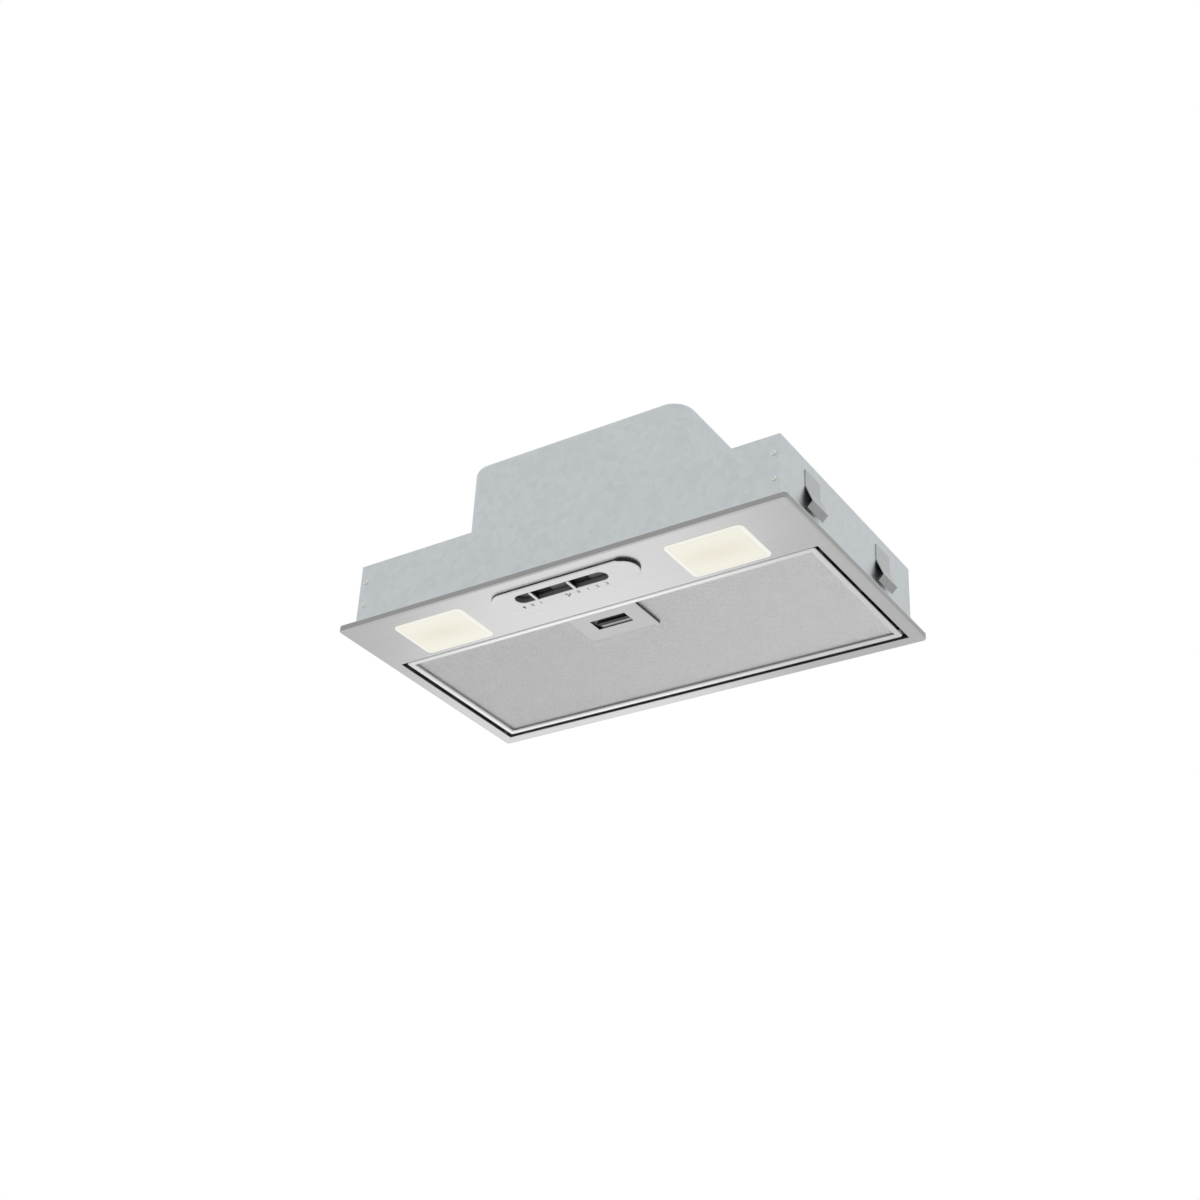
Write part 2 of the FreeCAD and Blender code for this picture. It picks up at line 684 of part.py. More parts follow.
def motor_cover():
    """Upper housing over the blower, with a flange on the body's roof."""
    half_x = COVER_WIDTH / 2
    half_y = COVER_DEPTH / 2
    outer = rounded_slab(-half_x, half_x, -half_y, half_y, BODY_TOP, COVER_TOP, COVER_CORNER)
    outer = outer.makeFillet(COVER_ROUND, level_edges(outer, COVER_TOP))
    inner = cover_inner(BODY_TOP, COVER_INSIDE)
    inner = inner.makeFillet(COVER_ROUND - COVER_SHEET, level_edges(inner, COVER_INSIDE))
    edge_x = half_x + COVER_FLANGE
    edge_y = half_y + COVER_FLANGE
    flange_top = BODY_TOP + COVER_SHEET
    corner = COVER_CORNER + COVER_FLANGE
    flange = rounded_slab(-edge_x, edge_x, -edge_y, edge_y, BODY_TOP, flange_top, corner)
    flange = flange.cut(cover_inner(BODY_TOP, flange_top))
    outlet = rod(COLLAR_BORE, (0, 0, COVER_INSIDE), (0, 0, COVER_TOP))
    return cut_housing_screws(fused([outer.cut(inner), flange]).cut(outlet))


def outlet_collar():
    """Round spigot for the duct, with a flange, a ledge for the flaps and holes for their pin."""
    base = (0, 0, COVER_TOP)
    top = (0, 0, COVER_TOP + COLLAR_HEIGHT)
    spigot = ring(COLLAR_RADIUS, COLLAR_BORE, base, top)
    outer_rim = [e for e in level_edges(spigot, top[2]) if abs(e.Curve.Radius - COLLAR_RADIUS) < TOLERANCE]
    spigot = spigot.makeChamfer(COLLAR_CHAMFER, outer_rim)
    flange = ring(COLLAR_RADIUS + COLLAR_FLANGE, COLLAR_BORE, base, (0, 0, COVER_TOP + COLLAR_PLATE))
    ledge_top = FLAP_PIN_Z - FLAP_THICKNESS / 2 - FLAP_REST_GAP
    ledge_base = (0, 0, ledge_top - LEDGE_THICKNESS)
    ledge = ring(COLLAR_BORE, COLLAR_BORE - LEDGE_WIDTH, ledge_base, (0, 0, ledge_top))
    hole = rod(FLAP_PIN_RADIUS, (0, -COLLAR_RADIUS, FLAP_PIN_Z), (0, COLLAR_RADIUS, FLAP_PIN_Z))
    return cut_housing_screws(fused([spigot, flange, ledge]).cut(hole))


def flap_pin():
    """Pin across the collar that both flaps turn on, its ends a little below the spigot's outside."""
    end = COLLAR_RADIUS - FLAP_PIN_RECESS
    return rod(FLAP_PIN_RADIUS, (0, -end, FLAP_PIN_Z), (0, end, FLAP_PIN_Z))


def right_flap(first_knuckle):
    """Half-disc flap on the +X side, with every second knuckle along the pin."""
    z0 = FLAP_PIN_Z - FLAP_THICKNESS / 2
    z1 = FLAP_PIN_Z + FLAP_THICKNESS / 2
    radius = COLLAR_BORE - FLAP_GAP
    leaf = rod(radius, (0, 0, z0), (0, 0, z1)).common(box(FLAP_EDGE, radius, -radius, radius, z0, z1))
    pieces = [leaf]
    for index in range(first_knuckle, 4, 2):
        y0 = (index - 2) * KNUCKLE_LENGTH + KNUCKLE_GAP
        y1 = (index - 1) * KNUCKLE_LENGTH - KNUCKLE_GAP
        pieces.append(rod(KNUCKLE_RADIUS, (0, y0, FLAP_PIN_Z), (0, y1, FLAP_PIN_Z)))
        pieces.append(box(0, FLAP_EDGE, y0, y1, z0, z1))
    bore = rod(FLAP_PIN_RADIUS + PIN_FIT, (0, -radius, FLAP_PIN_Z), (0, radius, FLAP_PIN_Z))
    return fused(pieces).cut(bore)


def volute(x0, x1, wall):
    """Scroll-shaped slab: three quarter arcs that grow towards a straight throat, grown by a wall."""
    step = VOLUTE_STEP
    large = VOLUTE_LARGE + wall
    middle = large - step
    small = middle - step
    low = FAN_Z - step / 2
    high = FAN_Z + step / 2
    front = FAN_Y - step / 2
    back = FAN_Y + step / 2
    lean = math.acos(-wall / small)

    def arc(y, z, radius, a0, a1):
        points = []
        for angle in (a0, (a0 + a1) / 2, a1):
            points.append(Vector(x0, y + radius * math.cos(angle), z + radius * math.sin(angle)))
        return Part.Arc(*points).toShape()

    right = math.pi / 2
    arcs = [
        arc(back, high, large, 0, -right),
        arc(back, low, middle, -right, -2 * right),
        arc(front, low, small, -2 * right, lean - 4 * right),
    ]
    start = Vector(x0, back + large, high)
    end = arcs[-1].Vertexes[-1].Point
    top_back = Vector(x0, start.y, COVER_INSIDE)
    top_front = Vector(x0, end.y, COVER_INSIDE)
    throat = [end, top_front, top_back, start]
    lines = [Part.makeLine(first, second) for first, second in zip(throat, throat[1:])]
    return Part.Face(Part.Wire(arcs + lines)).extrude(Vector(x1 - x0, 0, 0))


def lug_centres():
    """Centres of the scroll's screw lugs, on the outside of its three arcs."""
    step = VOLUTE_STEP / 2
    reach = SCROLL_WALL + SCROLL_HEAD_RADIUS + LUG_GAP
    centres = ((step, step), (step, -step), (-step, -step))
    places = []
    for index, (angle, (y, z)) in enumerate(zip(LUG_ANGLES, centres)):
        radius = VOLUTE_LARGE - index * VOLUTE_STEP + reach
        turn = math.radians(angle)
        places.append((FAN_Y + y + radius * math.cos(turn), FAN_Z + z + radius * math.sin(turn)))
    return places


def bracket_points(radius):
    """Points round the motor's axis where the bracket's arms lie."""
    places = []
    for angle in BRACKET_ANGLES:
        turn = math.radians(angle)
        places.append((FAN_Y + radius * math.cos(turn), FAN_Z + radius * math.sin(turn)))
    return places


def scroll_right():
    """Right half of the blower's scroll, with its inlet, lugs and half of the throat plate."""
    shell = volute(0, SCROLL_OUTSIDE, SCROLL_WALL)
    plate_z = COVER_INSIDE - SCROLL_WALL
    plate = box(0, THROAT_PLATE, -THROAT_PLATE, THROAT_PLATE, plate_z, COVER_INSIDE)
    lugs = [rod(LUG_RADIUS, (0, y, z), (LUG_LENGTH, y, z)) for y, z in lug_centres()]
    cuts = [volute(0, SCROLL_INSIDE, 0)]
    cuts.append(rod(INLET_RADIUS, (SCROLL_INSIDE, FAN_Y, FAN_Z), (SCROLL_OUTSIDE, FAN_Y, FAN_Z)))
    for y, z in lug_centres():
        cuts.append(screw_hole((0, y, z), (1, 0, 0), SCROLL_SCREW_RADIUS, LUG_LENGTH))
    for y, z in bracket_points(FOOT_RADIUS):
        cuts.append(screw_hole((SCROLL_INSIDE, y, z), (1, 0, 0), MOTOR_SCREW_RADIUS, SCROLL_WALL))
    return cut_housing_screws(fused([shell, plate] + lugs).cut(cuts))


def scroll_left():
    """Left half of the scroll: the right half mirrored."""
    return mirrored(scroll_right())


def scroll_screws():
    """Screws through the lugs of both scroll halves."""
    sizes = (SCROLL_SCREW_RADIUS, 2 * LUG_LENGTH + SCROLL_HEAD, SCROLL_HEAD_RADIUS, SCROLL_HEAD)
    return [screw((-LUG_LENGTH, y, z), (1, 0, 0), *sizes) for y, z in lug_centres()]


def fan_blade(turn):
    """One straight blade of the wheel, leaning from the radius and turned round the shaft."""
    inner = FAN_RADIUS - FAN_RING + BLADE_THICKNESS / 2
    outer = FAN_RADIUS - BLADE_THICKNESS
    lean = math.radians(BLADE_LEAN)
    chord = math.sqrt(outer ** 2 - (inner * math.sin(lean)) ** 2) - inner * math.cos(lean)
    half = FAN_WIDTH / 2
    blade = box(-half, half, -BLADE_THICKNESS / 2, BLADE_THICKNESS / 2, 0, chord)
    blade.rotate(Vector(0, 0, 0), Vector(1, 0, 0), BLADE_LEAN)
    blade.translate(Vector(0, FAN_Y, FAN_Z + inner))
    blade.rotate(Vector(0, FAN_Y, FAN_Z), Vector(1, 0, 0), turn)
    return blade


def fan_wheel():
    """Twin-inlet wheel: a hub disc, two end rings and a drum of blades."""
    half = FAN_WIDTH / 2
    face = HUB_DISC / 2
    pieces = [rod(FAN_RADIUS - BLADE_THICKNESS, (-face, FAN_Y, FAN_Z), (face, FAN_Y, FAN_Z))]
    pieces.append(rod(HUB_RADIUS, (HUB_BACK, FAN_Y, FAN_Z), (0, FAN_Y, FAN_Z)))
    for x0, x1 in ((-half, -half + FAN_RING_THICKNESS), (half - FAN_RING_THICKNESS, half)):
        pieces.append(ring(FAN_RADIUS, FAN_RADIUS - FAN_RING, (x0, FAN_Y, FAN_Z), (x1, FAN_Y, FAN_Z)))
    for index in range(BLADE_COUNT):
        pieces.append(fan_blade(index * 360.0 / BLADE_COUNT))
    bore = rod(SHAFT_RADIUS, (HUB_BACK, FAN_Y, FAN_Z), (face, FAN_Y, FAN_Z))
    return fused(pieces).cut(bore)


def motor_shaft():
    """Shaft from inside the motor through the wheel's hub and its nut."""
    start = HUB_BACK - NUT_THICKNESS - SHAFT_END
    return rod(SHAFT_RADIUS, (start, FAN_Y, FAN_Z), (NOSE_X + SHAFT_DEPTH - SHAFT_END, FAN_Y, FAN_Z))


def hub_nut():
    """Nut that holds the wheel on its shaft."""
    radius = NUT_FLATS / math.sqrt(3)
    start = HUB_BACK - NUT_THICKNESS
    corners = []
    for index in range(6):
        turn = math.radians(60.0 * index)
        corners.append(Vector(start, FAN_Y + radius * math.cos(turn), FAN_Z + radius * math.sin(turn)))
    nut = prism(corners, Vector(NUT_THICKNESS, 0, 0))
    return nut.cut(rod(SHAFT_RADIUS, (start, FAN_Y, FAN_Z), (HUB_BACK, FAN_Y, FAN_Z)))


def motor_body():
    """Motor inside the wheel, with a bearing nose and threaded holes in its back."""
    can = rod(MOTOR_RADIUS, (MOTOR_FRONT, FAN_Y, FAN_Z), (MOTOR_BACK, FAN_Y, FAN_Z))
    rims = [e for e in can.Edges if e.BoundBox.XLength < TOLERANCE]
    can = can.makeFillet(MOTOR_ROUND, rims)
    nose = rod(MOTOR_NOSE_RADIUS, (NOSE_X, FAN_Y, FAN_Z), (MOTOR_FRONT, FAN_Y, FAN_Z))
    cuts = [rod(SHAFT_RADIUS + SHAFT_FIT, (NOSE_X, FAN_Y, FAN_Z), (NOSE_X + SHAFT_DEPTH, FAN_Y, FAN_Z))]
    for y, z in bracket_points(MOTOR_SCREW_CIRCLE):
        cuts.append(screw_hole((MOTOR_BACK, y, z), (-1, 0, 0), MOTOR_SCREW_RADIUS, MOTOR_SCREW_LENGTH))
    return fused([can, nose]).cut(cuts)


def motor_bracket():
    """Three-armed plate on the motor's back."""
    outside = MOTOR_BACK + BRACKET_SHEET
    pieces = [rod(MOTOR_RADIUS, (MOTOR_BACK, FAN_Y, FAN_Z), (outside, FAN_Y, FAN_Z))]
    for angle, (y, z) in zip(BRACKET_ANGLES, bracket_points(FOOT_RADIUS)):
        arm = box(MOTOR_BACK, outside, 0, FOOT_RADIUS, -BRACKET_ARM / 2, BRACKET_ARM / 2)
        arm.rotate(Vector(0, 0, 0), Vector(1, 0, 0), angle)
        arm.translate(Vector(0, FAN_Y, FAN_Z))
        pieces.append(arm)
        pieces.append(rod(BRACKET_ARM / 2, (MOTOR_BACK, y, z), (outside, y, z)))
    cuts = [rod(BRACKET_EYE, (MOTOR_BACK, FAN_Y, FAN_Z), (outside, FAN_Y, FAN_Z))]
    for y, z in bracket_points(FOOT_RADIUS) + bracket_points(MOTOR_SCREW_CIRCLE):
        cuts.append(screw_hole((MOTOR_BACK, y, z), (1, 0, 0), MOTOR_SCREW_RADIUS, BRACKET_SHEET))
    return fused(pieces).cut(cuts)


def motor_bushes():
    """Rubber bushes between the bracket's arms and the scroll."""
    bushes = []
    bore = MOTOR_SCREW_RADIUS + SCREW_CLEARANCE
    for y, z in bracket_points(FOOT_RADIUS):
        bushes.append(ring(BUSH_RADIUS, bore, (SCROLL_OUTSIDE, y, z), (MOTOR_BACK, y, z)))
    return bushes


def motor_screws():
    """Screws through the bracket, three into the motor and three through the bushes."""
    seat = MOTOR_BACK + BRACKET_SHEET
    sizes = (MOTOR_SCREW_RADIUS, MOTOR_SCREW_LENGTH, MOTOR_HEAD_RADIUS, MOTOR_HEAD)
    places = bracket_points(FOOT_RADIUS) + bracket_points(MOTOR_SCREW_CIRCLE)
    return [screw((seat, y, z), (-1, 0, 0), *sizes) for y, z in places]


def lens_slab(x, z0, z1, grow):
    """Rounded slab of a lamp lens's outline, grown by the same amount all round."""
    half_x = LENS_LENGTH / 2 + grow
    half_y = LENS_DEPTH / 2 + grow
    sides = (x - half_x, x + half_x, LAMP_Y - half_y, LAMP_Y + half_y)
    return rounded_slab(*sides, z0, z1, LENS_CORNER + grow)


def lamp_lens(x):
    """Frosted lens: a shallow dish that stands a little proud of the fascia."""
    flange_top = FLOOR + LENS_FLANGE_THICKNESS
    dish = lens_slab(x, LENS_FACE, flange_top, 0)
    dish = dish.makeFillet(LENS_ROUND, level_edges(dish, LENS_FACE))
    flange = lens_slab(x, FLOOR, flange_top, LENS_FLANGE)
    return fused([dish, flange]).cut(lens_slab(x, LENS_FACE + LENS_WALL, flange_top, -LENS_WALL))


def tray_end(x):
    """Inner face of a lamp tray's end wall nearest the middle of the hood."""
    side = math.copysign(1, x)
    return x - side * (LENS_LENGTH / 2 + LENS_FLANGE + TRAY_GAP)


def lamp_tray(x):
    """Reflector box over a lens, with a hole for the socket's stub."""
    inside = LENS_FLANGE + TRAY_GAP
    top = FLOOR + TRAY_HEIGHT
    outer = lens_slab(x, FLOOR, top, inside + TRAY_WALL)
    cavity = lens_slab(x, FLOOR, top - TRAY_WALL, inside)
    end = tray_end(x)
    outward = end - math.copysign(TRAY_WALL, x)
    return outer.cut([cavity, rod(SOCKET_STUB_RADIUS, (end, LAMP_Y, BULB_Z), (outward, LAMP_Y, BULB_Z))])


def lamp_socket(x):
    """Bulb socket on the tray's end wall, with a stub through it for the lead."""
    side = math.copysign(1, x)
    end = tray_end(x)
    mouth = (end + side * SOCKET_LENGTH, LAMP_Y, BULB_Z)
    body = rod(SOCKET_RADIUS, (end, LAMP_Y, BULB_Z), mouth)
    stub_end = (end - side * (TRAY_WALL + SOCKET_STUB), LAMP_Y, BULB_Z)
    stub = rod(SOCKET_STUB_RADIUS, (end, LAMP_Y, BULB_Z), stub_end)
    bottom = (mouth[0] - side * CAP_LENGTH, LAMP_Y, BULB_Z)
    return fused([body, stub]).cut(rod(CAP_RADIUS + CAP_FIT, bottom, mouth))


def bulb_cap(x):
    """Metal screw cap of a bulb, seated in its socket."""
    side = math.copysign(1, x)
    mouth = tray_end(x) + side * SOCKET_LENGTH
    return rod(CAP_RADIUS, (mouth - side * CAP_LENGTH, LAMP_Y, BULB_Z), (mouth, LAMP_Y, BULB_Z))


def lamp_bulb(x):
    """Small pear-shaped bulb that lies along the lens."""
    side = math.copysign(1, x)
    start = tray_end(x) + side * SOCKET_LENGTH

    def place(along, radius):
        return Vector(start + side * along, LAMP_Y, BULB_Z + radius)

    widest = place(BULB_LENGTH - BULB_RADIUS, BULB_RADIUS)
    halfway = place((BULB_LENGTH - BULB_RADIUS) / 2, BULB_SHOULDER)
    crown = BULB_RADIUS * math.sqrt(0.5)
    shoulder = Part.Arc(place(0, CAP_RADIUS), halfway, widest)
    dome = Part.Arc(widest, place(BULB_LENGTH - BULB_RADIUS + crown, crown), place(BULB_LENGTH, 0))
    edges = [shoulder.toShape(), dome.toShape()]
    edges.append(Part.makeLine(place(BULB_LENGTH, 0), place(0, 0)))
    edges.append(Part.makeLine(place(0, 0), place(0, CAP_RADIUS)))
    return Part.Face(Part.Wire(edges)).revolve(place(0, 0), Vector(1, 0, 0), 360)


def route_edges(points):
    """Straight runs joined by tangent arcs, each arc as large as its two runs allow."""
    edges = []
    start = points[0]
    for before, corner, after in zip(points, points[1:], points[2:]):
        back = before - corner
        ahead = after - corner
        reach = LEAD_BEND * min(back.Length, ahead.Length)
        back.normalize()
        ahead.normalize()
        entry = corner + back * reach
        leave = corner + ahead * reach
        half_turn = (math.pi - back.getAngle(ahead)) / 2
        bisector = back + ahead
        bisector.normalize()
        sagitta = reach * math.tan(half_turn / 2)
        middle = corner + bisector * (reach * math.sin(half_turn) - sagitta * math.cos(half_turn))
        edges.append(Part.makeLine(start, entry))
        edges.append(Part.Arc(entry, middle, leave).toShape())
        start = leave
    edges.append(Part.makeLine(start, points[-1]))
    return edges


def lead(points):
    """Round lead along a route that the object holds at both ends."""
    section = Part.Wire(Part.makeCircle(LEAD_RADIUS, points[0], points[1] - points[0]))
    return Part.Wire(route_edges(points)).makePipeShell([section], True, False)


def lamp_leads():
    """Leads from the switch box to the two lamp sockets."""
    leads = []
    for x in (-LAMP_X, LAMP_X):
        side = math.copysign(1, x)
        stub = tray_end(x) - side * (TRAY_WALL + SOCKET_STUB)
        wall = SLOT_X + side * SWITCH_LENGTH / 2
        run = (stub - wall) * LAMP_LEAD_RUN
        route = ((wall, SLOT_Y), (wall + run, SLOT_Y), (stub - run, LAMP_Y), (stub, LAMP_Y))
        leads.append(lead([Vector(along, y, BULB_Z) for along, y in route]))
    return leads


def motor_lead():
    """Lead from the switch box past the scroll's right side into the motor's back."""
    entry_z = FAN_Z - BRACKET_EYE + 2 * LEAD_RADIUS
    rise = SWITCH_TOP + MOTOR_LEAD_RISE
    side = MOTOR_BACK + MOTOR_LEAD_SIDE
    start = SCROLL_OUTSIDE + MOTOR_LEAD_GAP
    route = [
        Vector(start, SLOT_Y, SWITCH_TOP),
        Vector(start, SLOT_Y, rise),
        Vector(start + MOTOR_LEAD_STEP, SLOT_Y + MOTOR_LEAD_STEP, rise + MOTOR_LEAD_STEP),
        Vector(side, FAN_Y - MOTOR_LEAD_SWEEP, entry_z - 2 * LEAD_RADIUS),
        Vector(side, FAN_Y - MOTOR_LEAD_STEP, entry_z),
        Vector(MOTOR_BACK + MOTOR_LEAD_STEP, FAN_Y, entry_z),
        Vector(MOTOR_BACK, FAN_Y, entry_z),
    ]
    return lead(route)


def control_bezel():
    """Raised pill on the fascia with the slot that the two fins slide in."""
    pads = pill(BEZEL_LENGTH, BEZEL_DEPTH, 0, BEZEL_Y, BEZEL_FACE, BEZEL_TOP)
    pads = pads.makeFillet(BEZEL_ROUND, level_edges(pads, BEZEL_FACE))
    flange = pill(BEZEL_LENGTH, BEZEL_DEPTH, 0, BEZEL_Y, FLOOR, BEZEL_TOP, BEZEL_FLANGE)
    bezel = fused([pads, flange]).cut(pill(SLOT_LENGTH, SLOT_DEPTH, SLOT_X, SLOT_Y, BEZEL_FACE, BEZEL_TOP))
    depth = SLOT_DEPTH + 2 * BEZEL_ROUND
    mouth = [e for e in level_edges(bezel, BEZEL_FACE) if e.BoundBox.YLength < depth]
    slot_edges = [e for e in mouth if abs(e.CenterOfMass.y - SLOT_Y) < depth / 2]
    return bezel.makeFillet(SLOT_EDGE, slot_edges)


def switch_box():
    """Slide-switch block on the bezel, with the channel that the carriages run in."""
    half_x = SWITCH_LENGTH / 2
    half_y = SWITCH_DEPTH / 2
    block = box(SLOT_X - half_x, SLOT_X + half_x, SLOT_Y - half_y, SLOT_Y + half_y, BEZEL_TOP, SWITCH_TOP)
    run_x = half_x - SWITCH_WALL
    run_y = CARRIAGE_DEPTH / 2 + INDEX_GAP
    channel = box(SLOT_X - run_x, SLOT_X + run_x, SLOT_Y - run_y, SLOT_Y + run_y, BEZEL_TOP, CHANNEL_TOP)
    return block.cut(channel)


def slider(x):
    """Black carriage that runs between the bezel and the switch box."""
    half_y = CARRIAGE_DEPTH / 2
    sides = (x - CARRIAGE_BACK, x + CARRIAGE_AHEAD, SLOT_Y - half_y, SLOT_Y + half_y)
    return box(*sides, CARRIAGE_Z, CARRIAGE_TOP)


def slider_index(x):
    """Light fin that stands on a carriage and shows in the slot."""
    half_x = INDEX_WIDTH / 2
    half_y = SLOT_DEPTH / 2 - INDEX_GAP
    tip = BEZEL_FACE - INDEX_PROUD
    return rounded_slab(x - half_x, x + half_x, SLOT_Y - half_y, SLOT_Y + half_y, tip, CARRIAGE_Z, half_x)


def filter_slab(inset, z0, z1):
    """Rounded slab of the filter's outline, drawn in by the same amount all round."""
    corner = max(FILTER_CORNER - inset, FILTER_WALL)
    x = FILTER_X - inset
    return rounded_slab(-x, x, FILTER_FRONT + inset, FILTER_BACK - inset, z0, z1, corner)


def filter_frame():
    """Channel frame of the filter: a rounded lower bead, an outer wall and an upper lip."""
    block = filter_slab(0, FILTER_FACE, FILTER_TOP)
    frame = block.cut(filter_slab(FILTER_RIM, FILTER_FACE, FILTER_TOP))
    frame = frame.makeFillet(FILTER_BEAD_ROUND, level_edges(frame, FILTER_FACE))
    cuts = [filter_slab(FILTER_WALL, MESH_FACE, MESH_TOP)]
    half = TONGUE_WIDTH / 2 + TONGUE_GAP
    sides = (-half, half, FILTER_FRONT, FILTER_FRONT + FILTER_WALL)
    cuts.append(box(*sides, TONGUE_Z - TONGUE_GAP, TONGUE_TOP + TONGUE_GAP))
    for x0, x1 in ((-FILTER_X, -FILTER_X + FILTER_WALL), (FILTER_X - FILTER_WALL, FILTER_X)):
        cuts.append(rod(PIVOT_TAIL_RADIUS, (x0, PIVOT_Y, PIVOT_Z), (x1, PIVOT_Y, PIVOT_Z)))
    return frame.cut(cuts)


def filter_layer(z0, z1):
    """One layer of the filter's filling, notched at the front for the latch."""
    half = HOUSING_WIDTH / 2 + NOTCH_GAP
    notch = box(-half, half, FILTER_FRONT, HOUSING_Y1 + NOTCH_GAP, z0, z1)
    return filter_slab(FILTER_WALL + MESH_GAP, z0, z1).cut(notch)


def filter_pin():
    """Right pivot pin of the filter, riveted to its side wall."""
    end = OPEN_X - BEARING_END
    tail = rod(PIVOT_TAIL_RADIUS, (FILTER_X - FILTER_WALL, PIVOT_Y, PIVOT_Z), (FILTER_X, PIVOT_Y, PIVOT_Z))
    collar_end = FILTER_X + PIVOT_FLANGE
    collar = rod(PIVOT_FLANGE_RADIUS, (FILTER_X, PIVOT_Y, PIVOT_Z), (collar_end, PIVOT_Y, PIVOT_Z))
    stub = rod(PIVOT_RADIUS, (collar_end, PIVOT_Y, PIVOT_Z), (end, PIVOT_Y, PIVOT_Z))
    return fused([tail, collar, stub])


def pivot_bearing():
    """Right bearing block on the fascia's lip, open to the front so that the filter lifts out."""
    inner = FILTER_X + PIVOT_FLANGE + BEARING_GAP
    block = rod(BEARING_RADIUS, (inner, PIVOT_Y, PIVOT_Z), (OPEN_X, PIVOT_Y, PIVOT_Z))
    stub = rod(BEARING_STUB, (OPEN_X, PIVOT_Y, PIVOT_Z), (WALL_X, PIVOT_Y, PIVOT_Z))
    bore = PIVOT_RADIUS + PIVOT_FIT
    eye = rod(bore, (inner, PIVOT_Y, PIVOT_Z), (OPEN_X, PIVOT_Y, PIVOT_Z))
    mouth = box(inner, OPEN_X, PIVOT_Y - BEARING_RADIUS, PIVOT_Y, PIVOT_Z - bore, PIVOT_Z + bore)
    return fused([block, stub]).cut([eye, mouth])


def latch_housing(x_inset, z0, z1):
    """Slab of the latch housing's outline, drawn in by a wall."""
    half = HOUSING_WIDTH / 2 - x_inset
    return box(-half, half, HOUSING_Y0 + x_inset, HOUSING_Y1 - x_inset, z0, z1)


def latch_plate():
    """Plate on the mesh with the finger slot, and the walls of the latch housing behind it."""
    half = LATCH_WIDTH / 2
    plate = box(-half, half, LATCH_Y0, LATCH_Y1, LATCH_FACE, MESH_FACE)
    plate = plate.makeFillet(LATCH_ROUND, level_edges(plate, LATCH_FACE))
    walls = latch_housing(0, MESH_FACE, HOUSING_TOP)
    finger = FINGER_WIDTH / 2
    tongue = TONGUE_WIDTH / 2 + TONGUE_GAP
    cuts = [latch_housing(HOUSING_WALL, LATCH_INSIDE, HOUSING_TOP)]
    cuts.append(box(-finger, finger, FINGER_Y0, FINGER_Y1, LATCH_FACE, LATCH_INSIDE))
    front_wall = HOUSING_Y0 + HOUSING_WALL
    cuts.append(box(-tongue, tongue, HOUSING_Y0, front_wall, TONGUE_Z - TONGUE_GAP, HOUSING_TOP))
    return fused([plate, walls]).cut(cuts)


def latch_cover():
    """Lid on the latch housing."""
    return latch_housing(0, HOUSING_TOP, HOUSING_TOP + LATCH_COVER)


def latch_slider():
    """Finger bar in the slot, with the tongue that runs forward over the finger space."""
    half = BAR_WIDTH / 2
    bar = box(-half, half, BAR_Y0, BAR_Y1, LATCH_INSIDE + BAR_GAP, TONGUE_TOP)
    reach = TONGUE_WIDTH / 2
    tongue = box(-reach, reach, TONGUE_TIP, BAR_Y0, TONGUE_Z, TONGUE_TOP)
    return fused([bar, tongue])


def latch_spring():
    """Bowed leaf between the finger bar and the housing's back wall."""
    crown = BAR_Y1 + SPRING_GAP
    foot = HOUSING_Y1 - HOUSING_WALL - SPRING_GAP
    sag = foot - crown
    radius = ((SPRING_SPAN / 2) ** 2 + sag ** 2) / (2 * sag)
    z0 = LATCH_INSIDE + BAR_GAP
    z1 = z0 + SPRING_HEIGHT
    centre = crown + radius
    hoop = ring(radius, radius - SPRING_LEAF, (0, centre, z0), (0, centre, z1))
    return hoop.common(box(-radius, radius, crown, foot, z0, z1))


def catch_window():
    """Window in the fascia's front lip that the catch's bend comes through."""
    half = (CATCH_WIDTH + CATCH_WINDOW_GAP) / 2
    return box(-half, half, OPEN_FRONT - SHEET, OPEN_FRONT, FLOOR, TONGUE_Z + TONGUE_THICKNESS)


def latch_catch():
    """Spring leaf on the fascia's front lip whose bend sits under the latch's tongue."""
    seat = OPEN_FRONT - SHEET - CATCH_LEAF / 2
    apex = TONGUE_TIP + CATCH_REACH - CATCH_LEAF / 2
    apex_z = TONGUE_Z - CATCH_REACH - CATCH_LEAF
    line = [
        (seat, LIP_TOP),
        (seat, apex_z + CATCH_SLOPE),
        (apex, apex_z),
        (seat, apex_z - CATCH_SLOPE),
    ]
    corners = [Vector(-CATCH_WIDTH / 2, y, z) for y, z in strip_outline(line, CATCH_LEAF)]
    return prism(corners, Vector(CATCH_WIDTH, 0, 0))


def terminal_shell(inset, z0, z1):
    """Slab of the terminal box's outline, drawn in by a wall."""
    half_x = TERMINAL_LENGTH / 2 - inset
    half_y = TERMINAL_DEPTH / 2 - inset
    sides = (TERMINAL_X - half_x, TERMINAL_X + half_x, TERMINAL_Y - half_y, TERMINAL_Y + half_y)
    return box(*sides, z0, z1)


def terminal_box():
    """Box under the body's roof where the supply is connected."""
    ceiling = ROOF - TERMINAL_WALL
    cavity = terminal_shell(TERMINAL_WALL, TERMINAL_Z, ceiling)
    return terminal_shell(0, TERMINAL_Z, ROOF).cut([cavity, gland_hole(ceiling, ROOF)])


def terminal_lid():
    """Lid under the terminal box."""
    return terminal_shell(0, TERMINAL_Z - TERMINAL_WALL, TERMINAL_Z)


